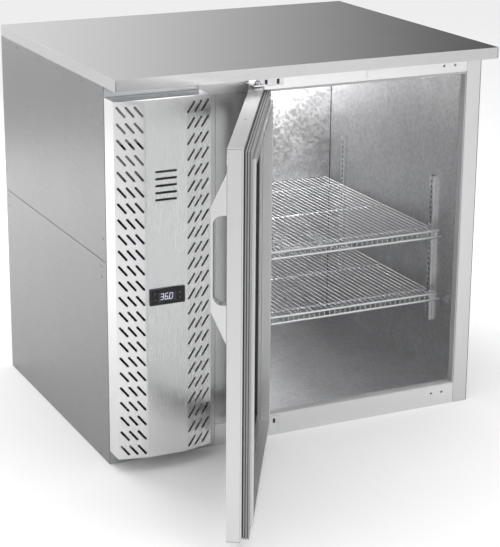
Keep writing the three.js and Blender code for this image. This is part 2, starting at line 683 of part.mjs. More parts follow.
function buildGrille() {
  const edge = -GRILLE_EDGE_P;
  const ridge = -GRILLE_RIDGE_P;
  const back = -GRILLE_BACK_GAP;
  const right = GRILLE_W;
  const ridgeX = [GRILLE_FACET_W, GRILLE_W - GRILLE_FACET_W];
  const t = GRILLE_T;
  const section = outline([
    [0, back], [0, edge], [ridgeX[0], ridge], [ridgeX[1], ridge], [right, edge], [right, back],
    [right - t, back], [right - t, edge + t], [ridgeX[1], ridge + t], [ridgeX[0], ridge + t],
    [t, edge + t], [t, back],
  ]);
  const cap = outline([
    [t / 2, back], [t / 2, edge + t / 2], [ridgeX[0], ridge + t / 2], [ridgeX[1], ridge + t / 2],
    [right - t / 2, edge + t / 2], [right - t / 2, back],
  ]);
  const sheet = joined([
    raise(section, FRONT_LOW, FRONT_TOP),
    raise(cap, FRONT_LOW, FRONT_LOW + t),
    raise(cap, FRONT_TOP - t, FRONT_TOP),
  ]);

  const lean = Math.atan2(GRILLE_RIDGE_P - GRILLE_EDGE_P, GRILLE_FACET_W);
  const tilt = THREE.MathUtils.degToRad(SLOT_TILT);
  const slotHalfRise = (SLOT_L / 2) * Math.sin(tilt) + SLOT_W / 2;
  const usable = FRONT_TOP - FRONT_LOW - SLOT_MARGIN_Z - slotHalfRise;
  const rows = Math.floor(usable / SLOT_ROW_PITCH);
  const cutters = [];
  for (const side of [-1, 1]) {
    const facetMidX = side < 0 ? GRILLE_FACET_W / 2 : GRILLE_W - GRILLE_FACET_W / 2;
    for (let column = 0; column < SLOT_COLUMNS; column += 1) {
      const along = (column - (SLOT_COLUMNS - 1) / 2) * SLOT_COLUMN_PITCH;
      for (let row = 0; row < rows; row += 1) {
        const slot = slotCutter(SLOT_L, SLOT_W);
        slot.rotateY(-side * tilt);
        slot.translate(along, 0, 0);
        slot.rotateZ(side * lean);
        slot.translate(facetMidX, (edge + ridge) / 2, FRONT_TOP - SLOT_MARGIN_Z - row * SLOT_ROW_PITCH);
        cutters.push(toSolid(slot));
      }
    }
  }
  for (let row = 0; row < VENT_ROWS; row += 1) {
    const vent = slotCutter(VENT_L, SLOT_W);
    const rise = ((VENT_ROWS - 1) / 2 - row) * VENT_PITCH;
    vent.translate(GRILLE_MID_X, ridge, FRONT_TOP - VENT_BELOW_TOP + rise);
    cutters.push(toSolid(vent));
  }
  const room = inset(controlRect(), CONTROL_FLANGE - CLEAR);
  cutters.push(block([room.x0, ridge - PAST, room.z0], [room.x1, ridge + PAST, room.z1]));
  return cutFrom(sheet, cutters);
}

function controlRect() {
  return {
    x0: GRILLE_MID_X - CONTROL_W / 2,
    x1: GRILLE_MID_X + CONTROL_W / 2,
    z0: CONTROL_Z - CONTROL_H / 2,
    z1: CONTROL_Z + CONTROL_H / 2,
  };
}

function buildControl(group) {
  const rect = controlRect();
  const back = -GRILLE_RIDGE_P - CLEAR;
  const front = back - CONTROL_T;
  const room = inset(rect, CONTROL_FLANGE);
  const bezel = block([rect.x0, front, rect.z0], [rect.x1, back, rect.z1]);
  const body = block([room.x0, back - FUSE, room.z0], [room.x1, back + CONTROL_BODY_D, room.z1]);
  const windowHalfW = DISPLAY_W / 2;
  const windowHalfH = DISPLAY_H / 2;
  const midX = GRILLE_MID_X + DISPLAY_SHIFT;
  const pockets = [block(
    [midX - windowHalfW - CLEAR, front - PAST, CONTROL_Z - windowHalfH - CLEAR],
    [midX + windowHalfW + CLEAR, front + DISPLAY_T, CONTROL_Z + windowHalfH + CLEAR])];
  const keyBox = ([dx, dz], grow, y0, y1) => block(
    [GRILLE_MID_X + dx - KEY_W / 2 - grow, y0, CONTROL_Z + dz - KEY_H / 2 - grow],
    [GRILLE_MID_X + dx + KEY_W / 2 + grow, y1, CONTROL_Z + dz + KEY_H / 2 + grow]);
  for (const spot of Object.values(KEY_SPOTS)) {
    pockets.push(keyBox(spot, CLEAR, front - PAST, front + KEY_POCKET));
  }
  place(group, "controller_housing", cutFrom(bezel.add(body), pockets), blackPlastic);
  place(group, "controller_display", block(
    [midX - windowHalfW, front + CLEAR, CONTROL_Z - windowHalfH],
    [midX + windowHalfW, front + DISPLAY_T - CLEAR, CONTROL_Z + windowHalfH]), darkWindow);
  for (const [name, spot] of Object.entries(KEY_SPOTS)) {
    place(group, name, keyBox(spot, 0, front - KEY_PROUD, front - KEY_PROUD + KEY_T), blackPlastic);
  }
}

// ---------------------------------------------------------------- machine section
function buildMachine(group) {
  const floorZ = BASE_T + CLEAR;
  const coilW = MACHINE_W - COND_X - COND_SIDE_GAP;
  const coilY = FRAME_D + COND_BACK;
  const coil = place(
    group, "condenser_coil", finnedCoil(coilW, COIL_T, COND_H, COND_FINS, COND_LOW - floorZ), aluminium);
  coil.position.set(COND_X, coilY, COND_LOW);

  const axisX = COND_X + coilW / 2;
  const axisZ = COND_LOW + COND_H / 2;
  const shroudY = coilY + COIL_T + CLEAR;
  const shroud = block(
    [COND_X - SHROUD_LAP, shroudY, floorZ],
    [COND_X + coilW + FIN_T + SHROUD_LAP, shroudY + SHROUD_T, COND_LOW + COND_H]);
  const throat = bar(
    [axisX, shroudY - PAST, axisZ], [axisX, shroudY + PAST, axisZ], COND_FAN_R + FAN_RING_GAP, 28);
  place(group, "condenser_shroud", shroud.subtract(throat), galvanised);

  const fanY = shroudY + COND_FAN_BACK;
  const fan = place(
    group, "condenser_fan", fanBlades(axisX, axisZ, COND_FAN_R, COND_FAN_D), blackPlastic);
  fan.position.y = fanY;
  place(group, "condenser_fan_motor", buildFanMotor(axisX, fanY + COND_FAN_D, axisZ, floorZ), blackEnamel);
  place(group, "compressor", buildCompressor(axisX, floorZ), blackEnamel);
  const shellTop = floorZ + SHELL_FOOT_T - FUSE + SHELL_H;
  place(group, "suction_line", buildSuctionLine(axisX, shellTop + CLEAR), copper);

  const trayX1 = MACHINE_W - TRAY_SIDE_GAP;
  const trayY1 = CASE_D - TRAY_BACK_GAP;
  const tray = block([TRAY_X, trayY1 - TRAY_D, floorZ], [trayX1, trayY1, TRAY_TOP]);
  const basin = block(
    [TRAY_X + TRAY_T, trayY1 - TRAY_D + TRAY_T, floorZ + TRAY_T],
    [trayX1 - TRAY_T, trayY1 - TRAY_T, TRAY_TOP + PAST]);
  place(group, "condensate_pan", tray.subtract(basin), blackPlastic);

  const flangeY = CASE_D + CLEAR;
  const gland = joined([
    bar([GLAND_X, CASE_D - GLAND_L, GLAND_Z], [GLAND_X, flangeY + FUSE, GLAND_Z], GLAND_R),
    bar([GLAND_X, flangeY, GLAND_Z], [GLAND_X, CASE_D + GLAND_FLANGE_T, GLAND_Z], GLAND_FLANGE_R),
  ]);
  const glandBore = bar(
    [GLAND_X, CASE_D - GLAND_L - PAST, GLAND_Z], [GLAND_X, CASE_D + GLAND_FLANGE_T + PAST, GLAND_Z],
    GLAND_BORE_R, 16);
  place(group, "power_inlet_gland", gland.subtract(glandBore), blackPlastic);
}

// The motor's can, its shaft up to the fan's hub, and the stem and foot that carry it.
function buildFanMotor(axisX, hubY, axisZ, floorZ) {
  const canY = hubY + COND_MOTOR_BACK;
  const stemY = canY + MOTOR_FOOT_Y + (MOTOR_FOOT_D - MOTOR_STEM_T) / 2;
  return joined([
    bar([axisX, canY, axisZ], [axisX, canY + COND_MOTOR_L, axisZ], COND_MOTOR_R),
    bar([axisX, hubY + CLEAR, axisZ], [axisX, canY + FUSE, axisZ], FAN_SHAFT_R, 12),
    block([axisX - MOTOR_STEM_W / 2, stemY, floorZ], [axisX + MOTOR_STEM_W / 2, stemY + MOTOR_STEM_T, axisZ]),
    block(
      [axisX - MOTOR_FOOT_W / 2, canY + MOTOR_FOOT_Y, floorZ],
      [axisX + MOTOR_FOOT_W / 2, canY + MOTOR_FOOT_Y + MOTOR_FOOT_D, floorZ + MOTOR_FOOT_T]),
  ]);
}

// A welded shell on a foot plate, with its terminal box on the side.
function buildCompressor(axisX, floorZ) {
  const profile = new THREE.Path();
  profile.moveTo(0, 0);
  profile.lineTo(SHELL_R * SHELL_BASE_R, 0);
  profile.quadraticCurveTo(SHELL_R, 0, SHELL_R, SHELL_H * SHELL_LOW_ROUND);
  profile.lineTo(SHELL_R, SHELL_H * SHELL_HIGH_ROUND);
  profile.quadraticCurveTo(SHELL_R, SHELL_H, 0, SHELL_H);
  const shell = new THREE.LatheGeometry(profile.getPoints(6), 28);
  shell.rotateX(Math.PI / 2);
  shell.translate(axisX, SHELL_Y, floorZ + SHELL_FOOT_T - FUSE);
  return joined([
    toSolid(shell),
    block(
      [axisX - SHELL_FOOT_W / 2, SHELL_Y - SHELL_FOOT_D / 2, floorZ],
      [axisX + SHELL_FOOT_W / 2, SHELL_Y + SHELL_FOOT_D / 2, floorZ + SHELL_FOOT_T]),
    block(
      [axisX + SHELL_R - PAST, SHELL_Y - TERMINAL_W / 2, TERMINAL_LOW],
      [axisX + SHELL_R + TERMINAL_OUT, SHELL_Y + TERMINAL_W / 2, TERMINAL_LOW + TERMINAL_H]),
  ]);
}

// Up from the shell's top, round one bend and level to the bulkhead.
function buildSuctionLine(axisX, startZ) {
  const levelZ = EVAP_FAN_Z + LINE_ABOVE_FAN;
  const rise = new THREE.Vector3(axisX, SHELL_Y, levelZ - LINE_BEND);
  const corner = new THREE.Vector3(axisX, SHELL_Y, levelZ);
  const run = new THREE.Vector3(axisX + LINE_BEND, SHELL_Y, levelZ);
  const route = new THREE.CurvePath();
  route.add(new THREE.LineCurve3(new THREE.Vector3(axisX, SHELL_Y, startZ), rise));
  route.add(new THREE.QuadraticBezierCurve3(rise, corner, run));
  route.add(new THREE.LineCurve3(run, new THREE.Vector3(BULKHEAD_X - CLEAR, SHELL_Y, levelZ)));
  const section = new THREE.Shape();
  section.absarc(0, 0, LINE_R, 0, 2 * Math.PI);
  return toSolid(new THREE.ExtrudeGeometry(
    section, { steps: LINE_STEPS, extrudePath: route, curveSegments: 5 }));
}

// ---------------------------------------------------------------- hinge brackets
function buildHinge(topHinge) {
  const plate = hingePlateOutline(topHinge);
  const armZ = topHinge ? FRONT_TOP + HINGE_ARM_GAP : FRONT_LOW - HINGE_ARM_GAP - HINGE_ARM_T;
  const doorFace = topHinge ? FRONT_TOP : FRONT_LOW;
  const into = topHinge ? -1 : 1;
  const tip = doorFace + into * PIN_DEPTH;
  const armMid = armZ + HINGE_ARM_T / 2;
  const bracket = joined([
    block([plate.x0, -HINGE_PROUD, plate.z0], [plate.x1, HINGE_T - CLEAR, plate.z1]),
    block(
      [PIVOT_X - HINGE_ARM_W / 2, -HINGE_ARM_L, armZ],
      [PIVOT_X + HINGE_ARM_W / 2, FUSE, armZ + HINGE_ARM_T]),
    bar([PIVOT_X, PIVOT_Y, armMid], [PIVOT_X, PIVOT_Y, tip], PIN_R),
  ]);
  const slotZ = topHinge ? CASE_H - HINGE_SLOT_TOP : HINGE_SLOT_LOW;
  const slots = [0, 1].map((step) => {
    const x = plate.x1 - HINGE_SLOT_IN - step * HINGE_SLOT_PITCH;
    return block([x - HINGE_SLOT_W / 2, -PAST, slotZ - HINGE_SLOT_H / 2],
      [x + HINGE_SLOT_W / 2, HINGE_T + PAST, slotZ + HINGE_SLOT_H / 2]);
  });
  return cutFrom(bracket, slots);
}

// ---------------------------------------------------------------- door, in its own frame
// X runs from the hinge axis to the strike edge, Y from the hinge axis towards the case when shut.
function buildDoor(door) {
  const rect = { x0: -PIVOT_IN, x1: DOOR_W - PIVOT_IN, z0: FRONT_LOW, z1: FRONT_TOP };
  const face = -PIVOT_BACK;
  const back = face + DOOR_T;
  const lockX = rect.x1 - LOCK_IN;
  const lockZ = rect.z1 - LOCK_DROP;

  const frame = ring(rect, inset(rect, STILE_W), face, back);
  const boltLow = rect.z1 - BOLT_L - CLEAR;
  const bores = [
    bar([0, 0, rect.z0 - PAST], [0, 0, rect.z0 + PIN_DEPTH + PIN_ROOM], PIN_R + PIN_CLEAR),
    bar([0, 0, rect.z1 - PIN_DEPTH - PIN_ROOM], [0, 0, rect.z1 + PAST], PIN_R + PIN_CLEAR),
    bar([lockX, face - PAST, lockZ], [lockX, face + BARREL_L + CLEAR, lockZ], BARREL_R + PIN_CLEAR),
    bar([lockX, BOLT_Y, boltLow - CLEAR], [lockX, BOLT_Y, rect.z1 + PAST], BOLT_R + PIN_CLEAR),
  ];
  place(door, "door_frame", cutFrom(frame, bores), stainless);

  const sealRect = inset(rect, STILE_W + CLEAR);
  const paneRect = inset(sealRect, SEAL_W + CLEAR);
  place(door, "glazing_seal",
    ring(sealRect, inset(sealRect, SEAL_W), face + SEAL_FROM, face + SEAL_TO), blackPlastic);
  const glassY = face + GLASS_SET;
  place(door, "glass_unit",
    block([paneRect.x0, glassY, paneRect.z0], [paneRect.x1, glassY + GLASS_T, paneRect.z1]), glass);

  const gasketRect = inset(rect, GASKET_SIDE_INSET, GASKET_TOP_INSET, GASKET_LOW_INSET);
  place(door, "door_gasket",
    ring(gasketRect, inset(gasketRect, GASKET_W), back + CLEAR, back + GASKET_T), greyVinyl);

  place(door, "door_handle", buildHandle(rect.x1, face), stainless);

  const barrel = joined([
    bar([lockX, face - BEZEL_T, lockZ], [lockX, face - CLEAR, lockZ], BEZEL_R),
    bar([lockX, face - BEZEL_T / 2, lockZ], [lockX, face + BARREL_L, lockZ], BARREL_R),
  ]);
  const keyway = block(
    [lockX - KEYWAY_W / 2, face - PAST, lockZ - KEYWAY_H / 2],
    [lockX + KEYWAY_W / 2, face + KEYWAY_D, lockZ + KEYWAY_H / 2]);
  place(door, "lock_barrel", barrel.subtract(keyway), chrome);
  place(door, "lock_bolt",
    bar([lockX, BOLT_Y, boltLow], [lockX, BOLT_Y, rect.z1 - CLEAR], BOLT_R), chrome);
}

function buildHandle(strikeX, face) {
  // Side outline: across is the stand-off from the door face, up is the height.
  const slopeL = (HANDLE_FOOT_L - HANDLE_GRIP_L) / 2;
  const foot = CLEAR;
  const top = HANDLE_LOW + HANDLE_FOOT_L;
  const side = new THREE.Shape();
  side.moveTo(foot, HANDLE_LOW);
  side.lineTo(HANDLE_STAND, HANDLE_LOW + slopeL);
  side.lineTo(HANDLE_STAND, top - slopeL);
  side.lineTo(foot, top);
  const middle = HANDLE_LOW + HANDLE_FOOT_L / 2;
  const reach = HANDLE_STAND - HANDLE_GRIP_T;
  const low = middle - FINGER_L / 2;
  const high = middle + FINGER_L / 2;
  side.lineTo(foot, high);
  side.lineTo(reach - FINGER_R, high);
  side.absarc(reach - FINGER_R, high - FINGER_R, FINGER_R, Math.PI / 2, 0, true);
  side.absarc(reach - FINGER_R, low + FINGER_R, FINGER_R, 0, -Math.PI / 2, true);
  side.lineTo(foot, low);
  const geometry = new THREE.ExtrudeGeometry(
    side, { depth: HANDLE_T, bevelEnabled: false, curveSegments: 6 });
  // Outline X becomes -Y (away from the face), outline Y becomes Z, the depth becomes X.
  geometry.applyMatrix4(new THREE.Matrix4().set(
    0, 0, 1, strikeX - HANDLE_T - HANDLE_IN,
    -1, 0, 0, face,
    0, 1, 0, 0,
    0, 0, 0, 1));
  return turnedFaces(geometry);
}

// The axis swap above mirrors the outline, so every face is turned back outwards.
function turnedFaces(geometry) {
  const welded = geometry.index ? geometry.toNonIndexed() : geometry;
  const position = welded.attributes.position;
  for (let first = 0; first < position.count; first += 3) {
    const keep = new THREE.Vector3().fromBufferAttribute(position, first + 1);
    const other = new THREE.Vector3().fromBufferAttribute(position, first + 2);
    position.setXYZ(first + 1, other.x, other.y, other.z);
    position.setXYZ(first + 2, keep.x, keep.y, keep.z);
  }
  return toSolid(welded);
}

// ---------------------------------------------------------------- assembly
const refrigerator = new THREE.Group();
const caseGroup = new THREE.Group();
caseGroup.position.set(-CASE_W / 2, -CASE_D / 2, 0);
refrigerator.add(caseGroup);

buildCase(caseGroup);
buildFrontFrame(caseGroup);
buildColdSection(caseGroup);
buildShelves(caseGroup);
place(caseGroup, "grille_panel", buildGrille(), stainless);
buildControl(caseGroup);
buildMachine(caseGroup);
place(caseGroup, "hinge_bracket_top", buildHinge(true), chrome);
place(caseGroup, "hinge_bracket_bottom", buildHinge(false), chrome);

const doorGroup = new THREE.Group();
doorGroup.position.set(PIVOT_X, PIVOT_Y, 0);
doorGroup.rotation.z = -THREE.MathUtils.degToRad(DOOR_OPEN);
caseGroup.add(doorGroup);
buildDoor(doorGroup);

export default refrigerator;
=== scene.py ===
"""Undercounter refrigerator with a side machine section, a slotted front panel and one glazed door.

Every size is in metres. X runs to the right seen from the front, Y towards the back and Z up, and
the origin is the centre of the case's base footprint.
"""
import json
import logging
import math
from dataclasses import dataclass, field
from enum import Enum

import bmesh
import bpy
from mathutils import Matrix, Vector


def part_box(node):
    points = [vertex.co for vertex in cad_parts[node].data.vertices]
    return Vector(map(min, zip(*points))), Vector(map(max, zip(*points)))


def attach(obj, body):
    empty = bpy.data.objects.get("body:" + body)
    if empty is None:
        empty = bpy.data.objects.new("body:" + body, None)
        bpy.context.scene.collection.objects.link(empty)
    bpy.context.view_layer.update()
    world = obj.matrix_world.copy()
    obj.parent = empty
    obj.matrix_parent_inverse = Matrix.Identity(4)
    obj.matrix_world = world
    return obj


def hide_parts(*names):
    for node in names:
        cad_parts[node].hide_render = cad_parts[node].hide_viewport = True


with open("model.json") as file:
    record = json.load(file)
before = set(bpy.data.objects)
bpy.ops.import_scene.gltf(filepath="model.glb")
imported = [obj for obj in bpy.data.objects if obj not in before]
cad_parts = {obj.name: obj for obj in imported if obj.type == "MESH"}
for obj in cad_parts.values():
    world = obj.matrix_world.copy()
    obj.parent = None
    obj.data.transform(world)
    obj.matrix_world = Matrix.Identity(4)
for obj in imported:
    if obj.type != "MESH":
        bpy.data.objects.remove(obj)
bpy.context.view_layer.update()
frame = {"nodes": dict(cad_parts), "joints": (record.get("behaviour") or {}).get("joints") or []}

log = logging.getLogger("refrigerator")


# ---------------------------------------------------------------- modelling tools
def deselect() -> None:
    """Leave edit mode and select nothing."""
    if bpy.context.object and bpy.context.object.mode != "OBJECT":
        bpy.ops.object.mode_set(mode="OBJECT")
    bpy.ops.object.select_all(action="DESELECT")


def pick(*objects: bpy.types.Object) -> None:
    """Select these objects only, the first of them active.

    Args:
        objects: the objects to select.
    """
    deselect()
    for obj in objects:
        obj.select_set(True)
    bpy.context.view_layer.objects.active = objects[0]


def settle(name: str) -> bpy.types.Object:
    """Name the active object and move its place, turn and scale into its mesh.

    Args:
        name: the piece's name.

    Returns:
        The object, now at the origin.
    """
    obj = bpy.context.object
    if obj.mode != "OBJECT":
        bpy.ops.object.mode_set(mode="OBJECT")
    bpy.ops.object.transform_apply(location=True, rotation=True, scale=True)
    obj.name = name
    obj.data.name = name
    return obj


def edit(obj: bpy.types.Object) -> bmesh.types.BMesh:
    """Enter edit mode with nothing selected, faces active.

    Args:
        obj: the object to edit.

    Returns:
        Its edit mesh, for choosing faces and edges by their place.
    """
    pick(obj)
    bpy.ops.object.mode_set(mode="EDIT")
    bpy.ops.mesh.select_mode(type="FACE")
    bpy.ops.mesh.select_all(action="DESELECT")
    return bmesh.from_edit_mesh(obj.data)


def choose_faces(obj: bpy.types.Object, test) -> None:
    """Select in edit mode the faces that pass a test.

    Args:
        obj: the object in edit mode.
        test: takes a face and says whether it's chosen.
    """
    mesh = bmesh.from_edit_mesh(obj.data)
    for face in mesh.faces:
        face.select_set(bool(test(face)))
    mesh.select_flush_mode()
    bmesh.update_edit_mesh(obj.data)


def choose_edges(obj: bpy.types.Object, test) -> None:
    """Select in edit mode the edges that pass a test.

    Args:
        obj: the object in edit mode.
        test: takes an edge and says whether it's chosen.
    """
    bpy.ops.mesh.select_mode(type="EDGE")
    mesh = bmesh.from_edit_mesh(obj.data)
    for part in (*mesh.faces, *mesh.edges, *mesh.verts):
        part.select = False
    for edge in mesh.edges:
        edge.select_set(bool(test(edge)))
    bmesh.update_edit_mesh(obj.data)


def block(name: str, low: Vector, high: Vector, round_over: float = 0.0004, steps: int = 2) -> bpy.types.Object:
    """Make a block between two corners, with its edges rounded over.

    Args:
        name: the piece's name.
        low: its lowest corner.
        high: its highest corner.
        round_over: how far the rounding reaches from each edge.
        steps: faces across each rounding.

    Returns:
        The piece.
    """
    low, high = Vector(low), Vector(high)
    deselect()
    bpy.ops.mesh.primitive_cube_add(size=1, location=(low + high) / 2, scale=high - low)
    obj = settle(name)
    if round_over:
        edit(obj)
        bpy.ops.mesh.select_all(action="SELECT")
        bpy.ops.mesh.bevel(offset=round_over, segments=steps, affect="EDGES", clamp_overlap=True)
        bpy.ops.object.mode_set(mode="OBJECT")
    smooth(obj)
    return obj


def rod(name: str, start: Vector, end: Vector, radius: float, sides: int = 16, tip: float = 0.25) -> bpy.types.Object:
    """Make a round bar between two points, with its ends eased.

    Args:
        name: the piece's name.
        start: the middle of one end.
        end: the middle of the other end.
        radius: the bar's radius.
        sides: flats round it.
        tip: the easing of each end, as a share of the radius.

    Returns:
        The piece.
    """
    start, end = Vector(start), Vector(end)
    reach = end - start
    turn = reach.to_track_quat("Z", "Y").to_euler()
    deselect()
    bpy.ops.mesh.primitive_cylinder_add(
        vertices=sides, radius=radius, depth=reach.length, location=(start + end) / 2, rotation=turn)
    obj = settle(name)
    edit(obj)
    along = reach.normalized()
    choose_faces(obj, lambda face: abs(face.normal.dot(along)) > 0.9)
    bpy.ops.mesh.bevel(offset=radius * tip, segments=2, affect="EDGES", clamp_overlap=True)
    bpy.ops.object.mode_set(mode="OBJECT")
    smooth(obj)
    return obj


def smooth(obj: bpy.types.Object, angle: float = 48.0) -> None:
    """Shade a piece smooth across edges that turn less than an angle, its large faces kept flat.

    Args:
        obj: the piece.
        angle: the angle in degrees.
    """
    pick(obj)
    bpy.ops.object.shade_smooth_by_angle(angle=math.radians(angle), keep_sharp_edges=False)
    finish_with(obj, "WEIGHTED_NORMAL", keep_sharp=True)


def finish_with(obj: bpy.types.Object, kind: str, **settings) -> None:
    """Add a modifier to a piece and apply it.

    Args:
        obj: the piece.
        kind: the modifier's type.
        settings: values set on the modifier.
    """
    pick(obj)
    modifier = obj.modifiers.new(kind.title(), kind)
    for key, value in settings.items():
        setattr(modifier, key, value)
    bpy.ops.object.modifier_apply(modifier=modifier.name)


def copy_of(obj: bpy.types.Object, name: str, shift: Vector = Vector()) -> bpy.types.Object:
    """Copy a piece with a mesh of its own, moved by a shift.

    Args:
        obj: the piece to copy.
        name: the copy's name.
        shift: how far the copy is moved.

    Returns:
        The copy.
    """
    copy = obj.copy()
    copy.data = obj.data.copy()
    copy.data.transform(Matrix.Translation(shift))
    copy.name = name
    copy.data.name = name
    bpy.context.scene.collection.objects.link(copy)
    return copy


def join(name: str, objects: list[bpy.types.Object]) -> bpy.types.Object:
    """Join pieces into one.

    Args:
        name: the joined piece's name.
        objects: the pieces; the first keeps its identity.

    Returns:
        The joined piece.
    """
    pick(*objects)
    if len(objects) > 1:
        bpy.ops.object.join()
    obj = bpy.context.object
    obj.name = name
    obj.data.name = name
    return obj


def refined(node: str, name: str, round_over: float = 0.0005, steps: int = 2, angle: float = 30.0) -> bpy.types.Object:
    """Copy a CAD node's shape, merge its triangles and round its edges over.

    Args:
        node: the CAD node.
        name: the new piece's name.
        round_over: how far the rounding reaches from each edge.
        steps: faces across each rounding.
        angle: edges that turn less than this, in degrees, stay as they are.

    Returns:
        The piece.
    """
    obj = copy_of(frame["nodes"][node], name)
    obj.parent = None
    for key in list(obj.keys()):
        del obj[key]
    obj.data.materials.clear()
    edit(obj)
    bpy.ops.mesh.select_all(action="SELECT")
    bpy.ops.mesh.remove_doubles(threshold=1e-5)
    bpy.ops.mesh.dissolve_limited(angle_limit=math.radians(0.5))
    bpy.ops.object.mode_set(mode="OBJECT")
    if round_over:
        finish_with(obj, "BEVEL", width=round_over, segments=steps, limit_method="ANGLE",
                    angle_limit=math.radians(angle), use_clamp_overlap=True)
    smooth(obj)
    return obj


# ---------------------------------------------------------------- finishes
class Grain(Enum):
    """The way that a sheet's brushing runs, as pattern scales along X, Y and Z."""

    ALONG_X = (9.0, 1500.0, 1500.0)
    ALONG_Y = (1500.0, 9.0, 1500.0)
    ALONG_Z = (1500.0, 1500.0, 9.0)


class Shader:
    """A material's node tree, built node by node."""

    def __init__(self, name: str) -> None:
        """Start a material with one Principled shader.

        Args:
            name: the material's name.
        """
        self.material = bpy.data.materials.new(name)
        self.material.use_nodes = True
        self.tree = self.material.node_tree
        self.surface = next(n for n in self.tree.nodes if n.type == "BSDF_PRINCIPLED")

    def node(self, kind: str, **settings) -> bpy.types.Node:
        """Add a node.

        Args:
            kind: the node's type.
            settings: properties set on it.

        Returns:
            The node.
        """
        made = self.tree.nodes.new(kind)
        for key, value in settings.items():
            setattr(made, key, value)
        return made

    def link(self, out, into) -> None:
        """Link one socket to another."""
        self.tree.links.new(out, into)

    def place(self, scale: tuple[float, float, float]) -> bpy.types.NodeSocket:
        """Give the object's coordinates, scaled.

        Args:
            scale: the scale along X, Y and Z.

        Returns:
            The vector socket.
        """
        where = self.node("ShaderNodeTexCoord")
        mapping = self.node("ShaderNodeMapping")
        mapping.inputs["Scale"].default_value = scale
        self.link(where.outputs["Object"], mapping.inputs["Vector"])
        return mapping.outputs["Vector"]

    def noise(self, vector, scale: float, detail: float = 3.0, rough: float = 0.5) -> bpy.types.NodeSocket:
        """Add a noise pattern.

        Args:
            vector: the coordinates' socket.
            scale: the pattern's scale.
            detail: its levels of detail.
            rough: how strong the finer levels are.

        Returns:
            The value socket.
        """
        made = self.node("ShaderNodeTexNoise")
        made.inputs["Scale"].default_value = scale
        made.inputs["Detail"].default_value = detail
        made.inputs["Roughness"].default_value = rough
        self.link(vector, made.inputs["Vector"])
        return made.outputs["Fac"]

    def cells(self, vector, scale: float) -> bpy.types.NodeSocket:
        """Add a pattern of crystal-like cells, each with a value of its own.

        Args:
            vector: the coordinates' socket.
            scale: cells in a metre.

        Returns:
            The value socket.
        """
        made = self.node("ShaderNodeTexVoronoi")
        made.inputs["Scale"].default_value = scale
        self.link(vector, made.inputs["Vector"])
        split = self.node("ShaderNodeSeparateColor")
        self.link(made.outputs["Color"], split.inputs["Color"])
        return split.outputs["Red"]

    def spread(self, value, low: float, high: float, start: float = 0.3, stop: float = 0.7) -> bpy.types.NodeSocket:
        """Stretch a pattern's middle values over a range.

        Args:
            value: the pattern's socket.
            low: the result at start.
            high: the result at stop.
            start: the pattern's value that gives low.
            stop: the pattern's value that gives high.

        Returns:
            The value socket.
        """
        made = self.node("ShaderNodeMapRange")
        for key, number in (("From Min", start), ("From Max", stop), ("To Min", low), ("To Max", high)):
            made.inputs[key].default_value = number
        self.link(value, made.inputs["Value"])
        return made.outputs["Result"]

    def sum(self, first, second) -> bpy.types.NodeSocket:
        """Add two values.

        Args:
            first: a value socket.
            second: a value socket.

        Returns:
            The value socket.
        """
        made = self.node("ShaderNodeMath", operation="ADD")
        self.link(first, made.inputs[0])
        self.link(second, made.inputs[1])
        return made.outputs[0]

    def tint(self, value, dark: tuple, light: tuple) -> bpy.types.NodeSocket:
        """Blend between two colours by a pattern.

        Args:
            value: the pattern's socket, 0 to 1.
            dark: the colour at 0.
            light: the colour at 1.

        Returns:
            The colour socket.
        """
        made = self.node("ShaderNodeMix", data_type="RGBA")
        made.inputs["A"].default_value = (*dark, 1.0)
        made.inputs[6].default_value = (*dark, 1.0)
        made.inputs[7].default_value = (*light, 1.0)
        self.link(value, made.inputs[0])
        return made.outputs[2]

    def bump(self, height, strength: float, distance: float) -> None:
        """Raise the surface's shading by a pattern.

        Args:
            height: the pattern's socket.
            strength: the effect's strength.
            distance: the pattern's height in metres.
        """
        made = self.node("ShaderNodeBump")
        made.inputs["Strength"].default_value = strength
        made.inputs["Distance"].default_value = distance
        self.link(height, made.inputs["Height"])
        self.link(made.outputs["Normal"], self.surface.inputs["Normal"])

    def set(self, **values) -> None:
        """Set constants on the Principled shader.

        Args:
            values: socket names, with underscores for spaces, and their values.
        """
        for key, value in values.items():
            self.surface.inputs[key.replace("_", " ")].default_value = value


def shade(colour: tuple, share: float) -> tuple:
    """Scale a colour, no channel past 1."""
    return tuple(min(1.0, channel * share) for channel in colour)


@dataclass(frozen=True)
class Finish:
    """A surface finish: its name, the record's slot that it belongs to, its colour and roughness."""

    name: str
    slot: str
    colour: tuple[float, float, float]
    roughness: float

    def build(self) -> bpy.types.Material:
        """Make the finish's material, with a slight mottle in colour and roughness."""
        shader = Shader(self.name)
        self.dress(shader)
        return shader.material

    def dress(self, shader: Shader) -> None:
        """Lay the finish's patterns on a shader.

        Args:
            shader: the material's node tree.
        """
        where = shader.place((1.0, 1.0, 1.0))
        mottle = shader.noise(where, 40.0, 4.0)
        shader.link(shader.tint(mottle, shade(self.colour, 0.92), shade(self.colour, 1.06)),
                    shader.surface.inputs["Base Color"])
        shader.link(shader.spread(mottle, self.roughness - 0.05, self.roughness + 0.05),
                    shader.surface.inputs["Roughness"])


